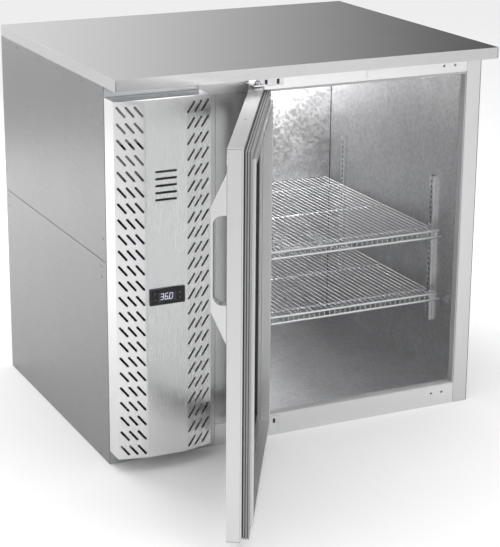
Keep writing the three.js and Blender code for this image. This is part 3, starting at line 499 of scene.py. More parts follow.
@dataclass(frozen=True)
class BrushedSteel(Finish):
    """Stainless sheet with fine brushing along one direction and faint handling marks."""

    grain: Grain = Grain.ALONG_X

    def dress(self, shader: Shader) -> None:
        """Lay brushing streaks over soft marks."""
        streaks = shader.noise(shader.place(self.grain.value), 1.0, 4.0, 0.6)
        marks = shader.noise(shader.place((1.0, 1.0, 1.0)), 7.0, 3.0)
        shader.link(shader.tint(shader.spread(streaks, 0.0, 1.0), shade(self.colour, 0.975),
                                shade(self.colour, 1.015)), shader.surface.inputs["Base Color"])
        shader.link(shader.sum(shader.spread(streaks, self.roughness - 0.02, self.roughness + 0.015),
                               shader.spread(marks, -0.012, 0.015)), shader.surface.inputs["Roughness"])
        shader.bump(streaks, 0.012, 0.0001)
        shader.set(Metallic=1.0)


@dataclass(frozen=True)
class SpangledSheet(Finish):
    """Coated sheet with crystal spangles of a given size."""

    cells: float = 110.0
    contrast: float = 0.1

    def dress(self, shader: Shader) -> None:
        """Lay spangles over a soft cloudiness."""
        plain = shader.place((1.0, 1.0, 1.0))
        warped = shader.node("ShaderNodeVectorMath", operation="ADD")
        wander = shader.node("ShaderNodeTexNoise")
        wander.inputs["Scale"].default_value = self.cells
        shader.link(plain, wander.inputs["Vector"])
        shrink = shader.node("ShaderNodeVectorMath", operation="SCALE")
        shrink.inputs["Scale"].default_value = 0.9 / self.cells
        shader.link(wander.outputs["Color"], shrink.inputs[0])
        shader.link(plain, warped.inputs[0])
        shader.link(shrink.outputs[0], warped.inputs[1])
        spangle = shader.cells(warped.outputs[0], self.cells)
        cloud = shader.noise(plain, 14.0, 4.0)
        mixed = shader.sum(shader.spread(spangle, 0.0, 0.7, 0.0, 1.0), shader.spread(cloud, 0.0, 0.3))
        shader.link(shader.tint(mixed, shade(self.colour, 1.0 - self.contrast),
                                shade(self.colour, 1.0 + self.contrast)), shader.surface.inputs["Base Color"])
        shader.link(shader.spread(mixed, self.roughness - 0.06, self.roughness + 0.1, 0.0, 1.0),
                    shader.surface.inputs["Roughness"])
        shader.bump(mixed, 0.06, 0.0004)
        shader.set(Metallic=1.0)


@dataclass(frozen=True)
class BrightPlate(Finish):
    """Bright plated or polished metal with a faint ripple."""

    def dress(self, shader: Shader) -> None:
        """Lay a faint ripple and a dulling film."""
        plain = shader.place((1.0, 1.0, 1.0))
        film = shader.noise(plain, 60.0, 3.0)
        shader.link(shader.tint(film, shade(self.colour, 0.92), shade(self.colour, 1.04)),
                    shader.surface.inputs["Base Color"])
        shader.link(shader.spread(film, self.roughness - 0.04, self.roughness + 0.06),
                    shader.surface.inputs["Roughness"])
        shader.bump(shader.noise(plain, 300.0, 2.0), 0.03, 0.0002)
        shader.set(Metallic=1.0)


@dataclass(frozen=True)
class Moulded(Finish):
    """Moulded plastic, vinyl or enamel with a fine stipple."""

    stipple: float = 900.0
    depth: float = 0.12

    def dress(self, shader: Shader) -> None:
        """Lay a fine stipple over the base mottle."""
        super().dress(shader)
        shader.bump(shader.noise(shader.place((1.0, 1.0, 1.0)), self.stipple, 2.0), self.depth, 0.0003)


@dataclass(frozen=True)
class ClearGlass(Finish):
    """Float glass with a faint tint and a trace of wiping marks."""

    def dress(self, shader: Shader) -> None:
        """Make the sheet clear, with faint marks in its gloss."""
        marks = shader.noise(shader.place((3.0, 3.0, 18.0)), 2.0, 4.0)
        shader.link(shader.spread(marks, self.roughness, self.roughness + 0.03),
                    shader.surface.inputs["Roughness"])
        shader.link(shader.tint(marks, shade(self.colour, 0.98), self.colour), shader.surface.inputs["Base Color"])
        shader.set(Transmission_Weight=1.0, IOR=1.5)


@dataclass(frozen=True)
class Lit(Finish):
    """A lit figure behind a dark window."""

    glow: float = 2.0

    def dress(self, shader: Shader) -> None:
        """Light the figure, a little uneven along its strokes."""
        uneven = shader.noise(shader.place((1.0, 1.0, 1.0)), 500.0, 2.0)
        colour = shader.tint(uneven, shade(self.colour, 0.85), self.colour)
        shader.link(colour, shader.surface.inputs["Base Color"])
        shader.link(colour, shader.surface.inputs["Emission Color"])
        shader.set(Emission_Strength=self.glow, Roughness=self.roughness)


STEEL = (0.58, 0.58, 0.585)
FINISHES = {
    "steel_top": BrushedSteel("stainless_brushed_worktop", "stainless", (0.60, 0.60, 0.605), 0.20, Grain.ALONG_X),
    "steel_level": BrushedSteel("stainless_brushed_level", "stainless", (0.70, 0.70, 0.705), 0.30, Grain.ALONG_X),
    "steel_deep": BrushedSteel("stainless_brushed_front_to_back", "stainless", STEEL, 0.34, Grain.ALONG_Y),
    "steel_upright": BrushedSteel("stainless_brushed_upright", "stainless", STEEL, 0.33, Grain.ALONG_Z),
    # Side skins: the same stainless coloured far darker than the rest, painted shade.
    "steel_side_painted_shade": BrushedSteel("stainless_brushed_side_painted_shade", "stainless", (0.235, 0.235, 0.24), 0.27, Grain.ALONG_Y),
    "steel_panel": BrushedSteel("stainless_brushed_panel", "stainless", (0.76, 0.76, 0.765), 0.28, Grain.ALONG_Z),
    "steel_door": BrushedSteel("stainless_brushed_door", "stainless", (0.62, 0.62, 0.625), 0.36, Grain.ALONG_Z),
    "steel_handle": BrushedSteel("stainless_satin_handle", "stainless", (0.66, 0.66, 0.67), 0.34, Grain.ALONG_Z),
    "rivet": BrightPlate("dull_rivet", "stainless", (0.22, 0.22, 0.23), 0.4),
    "strip": Moulded("light_grey_strip", "grey_vinyl", (0.42, 0.42, 0.42), 0.45, 500.0, 0.05),
    "seal": Moulded("black_glazing_seal", "black_plastic", (0.02, 0.02, 0.021), 0.5, 500.0, 0.08),
    "spacer": BrightPlate("dull_spacer", "aluminium", (0.12, 0.12, 0.125), 0.45),
    "pilaster": BrushedSteel("stainless_pilaster", "stainless", (0.66, 0.66, 0.665), 0.26, Grain.ALONG_Z),
    "galvanised": SpangledSheet("galvanised_sheet", "galvanised", (0.50, 0.51, 0.52), 0.45, 60.0, 0.14),
    "liner": SpangledSheet("spangled_liner_sheet", "aluminium", (0.55, 0.55, 0.555), 0.34, 150.0, 0.16),
    "fins": SpangledSheet("mill_aluminium", "aluminium", (0.62, 0.63, 0.64), 0.4, 220.0, 0.06),
    "foam": Moulded("rigid_foam", "foam", (0.80, 0.70, 0.42), 0.85, 260.0, 0.6),
    "chrome": BrightPlate("bright_plating", "chrome", (0.74, 0.745, 0.755), 0.16),
    "wire": BrightPlate("plated_wire", "chrome", (0.52, 0.525, 0.53), 0.34),
    "black": Moulded("moulded_black", "black_plastic", (0.018, 0.018, 0.02), 0.42),
    "key": Moulded("key_black", "black_plastic", (0.03, 0.03, 0.033), 0.5),
    "enamel": Moulded("black_enamel", "black_enamel", (0.012, 0.012, 0.014), 0.3, 240.0, 0.25),
    # Gasket grooves: the same grey vinyl made near black, painted shade in the recesses.
    "groove": Moulded("vinyl_groove_painted_shade", "grey_vinyl", (0.022, 0.022, 0.023), 0.6, 700.0, 0.05),
    "vinyl": Moulded("grey_vinyl", "grey_vinyl", (0.26, 0.262, 0.265), 0.55, 700.0, 0.1),
    "glass": ClearGlass("clear_float_glass", "glass", (0.86, 0.865, 0.865), 0.01),
    "copper": BrightPlate("drawn_copper", "copper", (0.62, 0.32, 0.18), 0.3),
    "window": Moulded("dark_window", "display", (0.035, 0.035, 0.04), 0.12, 90.0, 0.01),
    "figure": Lit("lit_figure", "display", (0.78, 0.76, 1.0), 0.4, 0.85),
    "mark": Moulded("grey_mark", "display", (0.30, 0.30, 0.32), 0.5),
    # This dark finish serves real seams and sealant, and also the dark strips and plugs painted as shade behind slits,
    # slots, the panel edge and the worktop's corner lines.
    "joint": Moulded("dark_joint_and_painted_shade", "black_plastic", (0.03, 0.03, 0.03), 0.7),
}


class Workshop:
    """Holds the made materials and hands finished pieces to the model."""

    materials: dict[str, bpy.types.Material] = {}

    @classmethod
    def material(cls, finish: str) -> bpy.types.Material:
        """Give a finish's material, made on first use.

        Args:
            finish: the finish's key.

        Returns:
            The material.
        """
        if finish not in cls.materials:
            cls.materials[finish] = FINISHES[finish].build()
        return cls.materials[finish]

    @classmethod
    def dress_node(cls, node: str, finish: str) -> None:
        """Give a CAD node that keeps its shape a finish.

        Args:
            node: the CAD node.
            finish: the finish's key.
        """
        obj = frame["nodes"][node]
        if not obj.material_slots:
            obj.data.materials.append(cls.material(finish))
        for place in obj.material_slots:
            place.material = cls.material(finish)
        log.info("%s keeps its shape, finish %s", node, finish)

    @classmethod
    def hand_over(cls, obj: bpy.types.Object, body: str, finish: str, *nodes: str) -> bpy.types.Object:
        """Dress a finished piece, tie it to its body and hide the CAD nodes that it stands for.

        Args:
            obj: the piece.
            body: the body that it moves with.
            finish: the finish's key.
            nodes: the CAD nodes that it replaces.

        Returns:
            The piece.
        """
        obj.data.materials.clear()
        obj.data.materials.append(cls.material(finish))
        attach(obj, body)
        if nodes:
            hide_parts(*nodes)
        log.info("%s rides on %s, %d faces", obj.name, body, len(obj.data.polygons))
        return obj


# ---------------------------------------------------------------- places read from the CAD
def hinge_axis() -> Vector:
    """Give the door hinge's place."""
    return Vector(next(joint for joint in frame["joints"] if joint["name"] == "door_hinge")["pos_m"])


def door_matrix() -> Matrix:
    """Give the matrix that takes a shut door, hinged at the origin, to its open place."""
    hinge = next(joint for joint in frame["joints"] if joint["name"] == "door_hinge")
    return Matrix.Translation(hinge_axis()) @ Matrix.Rotation(-math.radians(hinge["range_deg"][1]), 4, "Z")


def door_box(node: str) -> tuple[Vector, Vector]:
    """Measure a CAD node in the shut door's own frame.

    Args:
        node: the CAD node.

    Returns:
        Its lowest and highest corners, X to the strike edge and Y towards the case.
    """
    back = door_matrix().inverted()
    points = [back @ vertex.co for vertex in frame["nodes"][node].data.vertices]
    return (Vector([min(point[axis] for point in points) for axis in range(3)]),
            Vector([max(point[axis] for point in points) for axis in range(3)]))


def open_door(obj: bpy.types.Object) -> bpy.types.Object:
    """Turn a piece made in the shut door's own frame to its open place.

    Args:
        obj: the piece.

    Returns:
        The piece.
    """
    obj.data.transform(door_matrix())
    return obj


# ---------------------------------------------------------------- case
@dataclass
class Carried:
    """A piece that keeps a CAD node's outline, with its edges rounded over."""

    node: str
    finish: str
    body: str = "case"
    round_over: float = 0.0004
    steps: int = 2

    def build(self) -> bpy.types.Object:
        """Build the piece and hand it over.

        Returns:
            The piece.
        """
        obj = refined(self.node, f"{self.node}_finished", self.round_over, self.steps)
        return Workshop.hand_over(obj, self.body, self.finish, self.node)


@dataclass
class Worktop:
    """The folded stainless worktop with its mitred front corners."""

    nose: float = 0.0016
    # seam is the half-width of the dark line painted as shade down each front corner edge
    seam: float = 0.0005
    shade_line_in: float = 0.0022

    def build(self) -> None:
        """Build the top sheet and the near-black lines at its front corners, painted shade along the corner edges."""
        top = refined("worktop", "worktop_sheet", self.nose, 3)
        Workshop.hand_over(top, "case", "steel_top", "worktop")
        low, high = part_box("worktop")
        # A near-black strip down each front corner of the nose: painted shade along the corner edge.
        for side, x in (("left", low.x + self.shade_line_in), ("right", high.x - self.shade_line_in)):
            line = block(f"worktop_corner_shade_line_{side}", (x - self.seam, low.y + 0.00002, low.z + self.shade_line_in),
                         (x + self.seam, low.y + 0.0015, high.z - self.shade_line_in), 0.0001, 1)
            line.data.transform(Matrix.Translation((0, -0.00012, 0)))
            Workshop.hand_over(line, "case", "joint")


@dataclass
class SideSkin:
    """The left side's two skins, held with flush rivets along their hems."""

    rivet: float = 0.0024
    hole: float = 0.0030
    sunk: float = 0.00025
    lower: tuple = ((0.047, 0.006), (-0.6, 0.0),)
    upper_top: tuple = (0.558, 0.405, 0.278, 0.126)

    def spots(self) -> dict[str, list[tuple[float, float]]]:
        """List each skin's rivets as distances from the front edge and above the base."""
        return {
            "side_panel_left_upper": [(0.558, 0.827), (0.405, 0.827), (0.278, 0.827), (0.126, 0.827),
                                      (0.0155, 0.816), (0.663, 0.511), (0.0154, 0.510)],
            "side_panel_left_lower": [(0.635, 0.008), (0.0505, 0.008), (0.653, 0.447), (0.654, 0.422),
                                      (0.029, 0.446), (0.028, 0.422)],
        }

    def build(self) -> None:
        """Build both skins and their rivets."""
        for node, spots in self.spots().items():
            low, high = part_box(node)
            skin = refined(node, f"{node}_skin", 0)
            cutters, rivets = [], []
            for index, (back, up) in enumerate(spots):
                y = low.y + back
                cutters.append(rod("hole", (low.x - 0.002, y, up), (high.x + 0.002, y, up), self.hole, 20, 0.02))
                rivets.append(rod("rivet", (low.x + self.sunk, y, up), (high.x, y, up), self.rivet, 20, 0.3))
            cutter = join("cutter", cutters)
            finish_with(skin, "BOOLEAN", operation="DIFFERENCE", solver="EXACT", object=cutter)
            bpy.data.objects.remove(cutter)
            finish_with(skin, "BEVEL", width=0.0003, segments=2, limit_method="ANGLE",
                        angle_limit=math.radians(35), use_clamp_overlap=True)
            smooth(skin)
            # The skin's dark stainless colour is painted shade.
            Workshop.hand_over(skin, "case", "steel_side_painted_shade", node)
            Workshop.hand_over(join(f"{node}_rivets", rivets), "case", "rivet")


@dataclass
class Cabinet:
    """The case: skins, front frame, insulation, liner and what is fixed in it."""

    carried: tuple = (
        # The right skin shares the side's darker stainless colour, painted shade.
        Carried("side_panel_right", "steel_side_painted_shade"),
        Carried("top_rail", "steel_level", round_over=0.0006),
        Carried("bottom_rail", "steel_level", round_over=0.0006),
        Carried("right_post", "steel_upright", round_over=0.0006),
        Carried("mullion_cover", "steel_upright", round_over=0.0006),
        Carried("machine_post", "steel_upright", round_over=0.0006),
        Carried("machine_front_frame", "galvanised"),
        Carried("machine_bulkhead", "galvanised"),
        Carried("door_switch_plate", "steel_level", round_over=0.0002),
        Carried("base_pan", "galvanised"),
        Carried("back_panel", "galvanised"),
        Carried("breaker_strip", "strip", round_over=0.0006),
        Carried("evaporator_cover", "liner", round_over=0.0003),
        Carried("condensate_pan", "galvanised", round_over=0.0004),
        Carried("condenser_shroud", "black", round_over=0.0006),
        Carried("compressor", "enamel", round_over=0.001),
        Carried("power_inlet_gland", "black", round_over=0.0006),
        Carried("hinge_bracket_top", "chrome", round_over=0.0005),
        Carried("hinge_bracket_bottom", "chrome", round_over=0.0005),
        Carried("pilaster_left_front", "pilaster", round_over=0.0002),
        Carried("pilaster_left_rear", "pilaster", round_over=0.0002),
        Carried("pilaster_right_front", "pilaster", round_over=0.0002),
        Carried("pilaster_right_rear", "pilaster", round_over=0.0002),
    )
    kept: dict[str, str] = field(default_factory=lambda: {
        "insulation": "foam",
        "liner": "liner",
        "machine_rear_cover": "galvanised",
        "condenser_coil": "fins",
        "evaporator_coil": "fins",
        "evaporator_fan_motor": "black",
        "evaporator_fan": "black",
        "condenser_fan_motor": "black",
        "condenser_fan": "black",
        "suction_line": "copper",
    })

    def build(self) -> None:
        """Build the case's pieces."""
        for piece in self.carried:
            piece.build()
        for level in ("lower", "upper"):
            for side in ("left", "right"):
                for end in ("front", "rear"):
                    Carried(f"shelf_clip_{level}_{side}_{end}", "chrome", round_over=0.0005).build()
        for node, finish in self.kept.items():
            Workshop.dress_node(node, finish)
        self.sealant()
        self.painted_shade_backings()

    def painted_shade_backings(self) -> None:
        """Put dark strips behind the pilasters' slits, the hinge slots and the slotted panel's edge: painted shade in
        those gaps.
        """
        for side in ("left", "right"):
            for end in ("front", "rear"):
                low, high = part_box(f"pilaster_{side}_{end}")
                wall = 0.0016
                x0, x1 = (low.x + 0.0002, high.x - wall) if side == "left" else (low.x + wall, high.x - 0.0002)
                # A near-black strip inside each pilaster, painted shade behind its slits.
                strip = block(f"pilaster_{side}_{end}_shadow_strip", (x0, low.y + wall, low.z + 0.001),
                              (x1, high.y - wall, high.z - 0.001), 0.0004, 1)
                Workshop.hand_over(strip, "case", "joint")
        for end, height in (("top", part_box("worktop")[0].z - 0.0215), ("bottom", 0.034)):
            low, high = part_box(f"hinge_bracket_{end}")
            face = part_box("top_rail")[0].y
            slot_shadow_plugs = []
            # Near-black plugs behind each bracket's two slots, painted shade seen through them.
            for step in (0, 1):
                x = high.x - 0.012 - step * 0.0286
                slot_shadow_plugs.append(block("plug", (x - 0.0029, face + 0.0004, height - 0.0054),
                                   (x + 0.0029, face + 0.0016, height + 0.0054), 0.0003, 1))
            Workshop.hand_over(join(f"hinge_slot_shadow_{end}", slot_shadow_plugs), "case", "joint")
            axis = hinge_axis()
            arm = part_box("door_frame")[1].z + 0.005 if end == "top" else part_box("door_frame")[0].z - 0.005
            way = 1 if end == "top" else -1
            washer = rod("washer", (axis.x, axis.y, arm), (axis.x, axis.y, arm + way * 0.0012), 0.0085, 28, 0.04)
            nut = rod("nut", (axis.x, axis.y, arm + way * 0.0012), (axis.x, axis.y, arm + way * 0.0062), 0.0068, 6, 0.1)
            stub = rod("stub", (axis.x, axis.y, arm + way * 0.0062), (axis.x, axis.y, arm + way * 0.0084), 0.0038, 20, 0.2)
            Workshop.hand_over(join(f"hinge_pivot_nut_{end}", [washer, nut, stub]), "case", "chrome")
        low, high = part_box("grille_panel")
        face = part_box("top_rail")[0].y
        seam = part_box("side_panel_left_upper")[0].z
        # A near-black strip in the gap beside the slotted panel's left return, painted shade where the light frame face
        # would show.
        strip = block("front_panel_edge_shade_strip", (low.x + 0.0016, high.y + 0.0002, seam),
                      (low.x + 0.014, face - 0.0002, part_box("top_rail")[0].z - 0.012), 0.0004, 1)
        Workshop.hand_over(strip, "case", "joint")

    def sealant(self) -> None:
        """Run a bead of sealant up the liner's rear corner by the right pilasters."""
        low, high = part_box("liner")
        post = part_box("pilaster_right_front")[1].x
        back = 0.2930
        bead = rod("liner_corner_sealant", (post + 0.0002, back, low.z + 0.002), (post + 0.0002, back, high.z - 0.003),
                   0.0013, 12)
        Workshop.hand_over(bead, "case", "joint")


@dataclass
class SlottedPanel:
    """The machine section's front panel: three upright facets, two of them slotted."""

    thickness: float = 0.0015
    edge_proud: float = 0.054
    ridge_proud: float = 0.070
    facet: float = 0.0645
    slot_length: float = 0.024
    slot_width: float = 0.0052
    tilt: float = 50.0
    columns: int = 3
    column_pitch: float = 0.0184
    row_pitch: float = 0.0337
    margin: float = 0.022
    vents: int = 5
    vent_length: float = 0.044
    vent_pitch: float = 0.015
    vent_below_top: float = 0.181

    def sheet(self) -> bpy.types.Object:
        """Fold the sheet: a plane up the left return, extruded facet by facet, then given its wall."""
        low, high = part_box("grille_panel")
        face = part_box("top_rail")[0].y
        inset = self.thickness / 2
        near = low.y + inset
        rear = high.y
        left, right = low.x + inset, high.x - inset
        edge = near + (self.ridge_proud - self.edge_proud)
        path = [(left, rear), (left, edge), (low.x + self.facet, near), (high.x - self.facet, near),
                (right, edge), (right, rear)]
        deselect()
        bpy.ops.mesh.primitive_plane_add(size=1)
        obj = settle("machine_front_panel")
        edit(obj)
        mesh = bmesh.from_edit_mesh(obj.data)
        corners = [(path[0], low.z), (path[1], low.z), (path[1], high.z), (path[0], high.z)]
        for vertex, ((x, y), z) in zip([loop.vert for loop in mesh.faces[:][0].loops], corners):
            vertex.co = (x, y, z)
        bmesh.update_edit_mesh(obj.data)
        for here, there in zip(path[1:], path[2:]):
            choose_edges(obj, lambda edge_: all(
                abs(v.co.x - here[0]) < 1e-5 and abs(v.co.y - here[1]) < 1e-5 for v in edge_.verts))
            bpy.ops.mesh.extrude_region_move(TRANSFORM_OT_translate={
                "value": (there[0] - here[0], there[1] - here[1], 0)})
        bpy.ops.mesh.select_all(action="SELECT")
        bpy.ops.mesh.normals_make_consistent(inside=False)
        bpy.ops.object.mode_set(mode="OBJECT")
        finish_with(obj, "SOLIDIFY", thickness=self.thickness, offset=0.0, use_even_offset=True)
        return obj

    def cutter(self, length: float) -> bpy.types.Object:
        """Make a round-ended cutter along X that cuts through along Y.

        Args:
            length: between the centres of its round ends.

        Returns:
            The cutter.
        """
        sides = 16
        deselect()
        bpy.ops.mesh.primitive_cylinder_add(vertices=sides, radius=self.slot_width / 2, depth=0.012,
                                            rotation=(math.pi / 2, math.pi / sides, 0))
        obj = settle("slot_cutter")
        for end in (-1, 1):
            edit(obj)
            bpy.ops.mesh.select_mode(type="VERT")
            mesh = bmesh.from_edit_mesh(obj.data)
            for vertex in mesh.verts:
                vertex.select_set(vertex.co.x * end > 0)
            bmesh.update_edit_mesh(obj.data)
            bpy.ops.transform.translate(value=(end * length / 2, 0, 0))
            bpy.ops.object.mode_set(mode="OBJECT")
        return obj

    def openings(self) -> bpy.types.Object:
        """Copy the cutters over both slotted facets and the middle one.

        Returns:
            All cutters as one object.
        """
        low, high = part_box("grille_panel")
        slope = math.atan2(self.ridge_proud - self.edge_proud, self.facet)
        slot = self.cutter(self.slot_length)
        vent = self.cutter(self.vent_length)
        cutters = []
        rise = self.slot_length / 2 * math.sin(math.radians(self.tilt)) + self.slot_width / 2
        rows = int((high.z - low.z - self.margin - rise) / self.row_pitch) + 1
        middle_y = low.y + (self.ridge_proud - self.edge_proud) / 2
        for side in (-1, 1):
            x = low.x + self.facet / 2 if side < 0 else high.x - self.facet / 2
            for row in range(rows):
                for column in range(self.columns):
                    along = (column - (self.columns - 1) / 2) * self.column_pitch
                    place = (Matrix.Translation((x, middle_y, high.z - self.margin - row * self.row_pitch))
                             @ Matrix.Rotation(side * slope, 4, "Z") @ Matrix.Translation((along, 0, 0))
                             @ Matrix.Rotation(math.radians(-side * self.tilt), 4, "Y"))
                    copy = copy_of(slot, "slot")
                    copy.data.transform(place)
                    cutters.append(copy)
        for row in range(self.vents):
            z = high.z - self.vent_below_top + (row - (self.vents - 1) / 2) * self.vent_pitch
            cutters.append(copy_of(vent, "vent", Vector(((low.x + high.x) / 2, low.y, z))))
        bpy.data.objects.remove(slot)
        bpy.data.objects.remove(vent)
        return join("openings", cutters)

    def window(self) -> bpy.types.Object:
        """Make the cutter for the controller's opening."""
        low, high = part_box("controller_housing")
        lap = 0.0046
        return block("controller_opening", (low.x + lap, low.y - 0.004, low.z + lap),
                     (high.x - lap, low.y + 0.012, high.z - lap), 0)

    def caps(self) -> bpy.types.Object:
        """Make the folded end plates at the panel's top and bottom.

        Returns:
            Both plates as one object.
        """
        low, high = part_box("grille_panel")
        plates = []
        for z in (low.z + 0.0006, high.z - self.thickness - 0.0006):
            plate = block("plate", (low.x + 0.0017, low.y, z), (high.x - 0.0017, high.y - 0.002, z + self.thickness), 0)
            drop = self.ridge_proud - self.edge_proud + 0.0004
            mesh = plate.data
            for vertex in mesh.vertices:
                if vertex.co.y < low.y + 0.001:
                    vertex.co.y = low.y + drop
            edit(plate)
            choose_faces(plate, lambda face: face.normal.y < -0.9)
            bpy.ops.mesh.extrude_region_move(TRANSFORM_OT_translate={"value": (0, 0.0018 - drop, 0)})
            width = high.x - low.x - 0.0034
            bpy.ops.transform.resize(value=((width - 2 * self.facet + 0.0034) / width, 1, 1))
            bpy.ops.object.mode_set(mode="OBJECT")
            plates.append(plate)
        return join("machine_front_panel_ends", plates)

    def build(self) -> None:
        """Build the slotted sheet with its end plates."""
        obj = self.sheet()
        for cutter in (self.openings(), self.window()):
            finish_with(obj, "BOOLEAN", operation="DIFFERENCE", solver="EXACT", object=cutter)
            bpy.data.objects.remove(cutter)
        finish_with(obj, "BEVEL", width=0.00035, segments=2, limit_method="ANGLE",
                    angle_limit=math.radians(33), use_clamp_overlap=True)
        smooth(obj, 30)
        Workshop.hand_over(obj, "case", "steel_panel", "grille_panel")
        Workshop.hand_over(self.caps(), "case", "steel_panel")


@dataclass
class Controller:
    """The temperature controller: bezel, dark window with lit figures, and four small keys."""

    reading: str = "36.0"
    figure_height: float = 0.0128
    lean: float = 0.12
    bezel_round: float = 0.0016

    def stroke(self, start: Vector, end: Vector) -> bpy.types.Object:
        """Make one flat stroke with pointed ends between two points of a figure.

        Args:
            start: one end.
            end: the other end.

        Returns:
            The stroke.
        """
        thick = self.figure_height * 0.088
        along = end - start
        deselect()
        bpy.ops.mesh.primitive_cylinder_add(vertices=6, radius=thick / 2, depth=0.00008,
                                            rotation=(math.pi / 2, math.pi / 6, 0))
        obj = settle("stroke")
        reach = along.length / 2 - thick * 0.62
        for vertex in obj.data.vertices:
            if abs(vertex.co.x) > 1e-6:
                vertex.co.x += math.copysign(reach, vertex.co.x)
        turn = Matrix.Rotation(-math.atan2(along.z, along.x), 4, "Y")
        obj.data.transform(Matrix.Translation((start + end) / 2) @ turn)
        return obj

    def figures(self, middle: Vector) -> bpy.types.Object:
        """Make the lit reading from leaning seven-stroke digits.

        Args:
            middle: the middle of the reading's face.

        Returns:
            The reading.
        """
        tall = self.figure_height
        wide = tall * 0.5
        corners = [Vector((x * wide, 0, z * tall / 2)) for z in (1, 0, -1) for x in (-0.5, 0.5)]
        strokes = {"top": (0, 1), "upper_left": (0, 2), "upper_right": (1, 3), "middle": (2, 3),
                   "lower_left": (2, 4), "lower_right": (3, 5), "low": (4, 5)}
        unlit = {"3": ("upper_left", "lower_left"), "6": ("upper_right",), "0": ("middle",)}
        pieces = []
        cursor = -1.72 * wide
        for sign in self.reading:
            if sign == ".":
                dot = block("dot", (cursor - wide * 0.88, -0.00004, -tall * 0.56),
                            (cursor - wide * 0.74, 0.00004, -tall * 0.44), 0)
                pieces.append(dot)
                continue
            for name, (first, last) in strokes.items():
                if name not in unlit[sign]:
                    piece = self.stroke(corners[first], corners[last])
                    piece.data.transform(Matrix.Translation((cursor, 0, 0)))
                    pieces.append(piece)
            cursor += wide * 1.62
        obj = join("controller_figures", pieces)
        lean = Matrix.Shear("XZ", 4, (0.0, 0.0))
        lean[0][2] = self.lean
        obj.data.transform(Matrix.Translation(middle) @ lean)
        return obj

    def build(self) -> None:
        """Build the controller's pieces."""
        low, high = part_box("controller_housing")
        glass_low, glass_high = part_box("controller_display")
        body = refined("controller_housing", "controller_bezel", 0.0008, 3)
        Workshop.hand_over(body, "case", "black", "controller_housing")
        window = block("controller_window", glass_low, glass_high, 0.0006, 3)
        Workshop.hand_over(window, "case", "window", "controller_display")
        middle = (glass_low + glass_high) / 2
        figures = self.figures(Vector((middle.x, glass_low.y - 0.00005, middle.z)))
        Workshop.hand_over(figures, "case", "figure")
        for node in ("key_up", "key_down", "key_light", "key_power"):
            key_low, key_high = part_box(node)
            key = block(f"{node}_cap", key_low, key_high, 0.0006, 3)
            Workshop.hand_over(key, node, "key", node)
            self.mark(node, key_low, key_high)

    def mark(self, node: str, low: Vector, high: Vector) -> None:
        """Put a small printed mark on a key.

        Args:
            node: the key's CAD node.
            low: the key's lowest corner.
            high: the key's highest corner.
        """
        middle = (low + high) / 2
        size = (high.z - low.z) * 0.28
        deselect()
        if node in ("key_up", "key_down"):
            turn = math.pi / 2 if node == "key_up" else -math.pi / 2
            bpy.ops.mesh.primitive_cylinder_add(vertices=3, radius=size, depth=0.0001, rotation=(math.pi / 2, 0, 0),
                                                location=(middle.x, low.y - 0.00003, middle.z))
            obj = settle(f"{node}_mark")
            if node == "key_down":
                obj.data.transform(Matrix.Translation(middle) @ Matrix.Rotation(math.pi, 4, "Y")
                                   @ Matrix.Translation(-middle))
        else:
            bpy.ops.mesh.primitive_torus_add(major_radius=size * 0.9, minor_radius=0.00016, major_segments=28,
                                             minor_segments=6, rotation=(math.pi / 2, 0, 0),
                                             location=(middle.x, low.y + 0.00008, middle.z))
            obj = settle(f"{node}_mark")
        smooth(obj)
        Workshop.hand_over(obj, node, "mark")


@dataclass
class WireShelf:
    """A wire shelf: a deck of round wires over cross rods, turned down in front between two bars."""

    body: str
    wire: float = 0.0015
    bar: float = 0.003
    cross: float = 0.0025
    wires: int = 38
    bar_in: float = 0.0086
    rods: tuple = (0.045, 0.262, 0.479)

    def build(self) -> None:
        """Build the shelf as one welded piece."""
        low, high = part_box(self.body)
        deck = high.z - self.wire
        deck = high.z - self.bar
        front = low.y + self.bar
        rear = high.y - self.cross
        pieces = [
            rod("front_bar_upper", (low.x + self.bar_in, front, deck), (high.x - self.bar_in, front, deck), self.bar, 20),
            rod("front_bar_lower", (low.x, front, low.z + self.bar), (high.x, front, low.z + self.bar), self.bar, 20),
        ]
        under = high.z - self.bar - self.wire - self.cross + 0.0004
        for y in (*[low.y + self.bar + reach for reach in self.rods], rear):
            pieces.append(rod("cross_rod", (low.x + self.bar_in, y, under), (high.x - self.bar_in, y, under),
                              self.cross, 16))
        start = low.x + self.bar_in + 4 * self.wire
        pitch = (high.x - low.x - 2 * self.bar_in - 8 * self.wire) / (self.wires - 1)
        top = high.z - self.bar
        level = rod("deck_wire", (start, front, top), (start, high.y, top), self.wire, 10)
        drop = rod("drop_wire", (start, front, low.z + self.bar), (start, front, top), self.wire, 10)
        wire = join("wire", [level, drop])
        for index in range(self.wires):
            pieces.append(copy_of(wire, "wire", Vector((index * pitch, 0, 0))))
        bpy.data.objects.remove(wire)
        shelf = join(f"{self.body}_wirework", pieces)
        Workshop.hand_over(shelf, self.body, "wire", self.body)


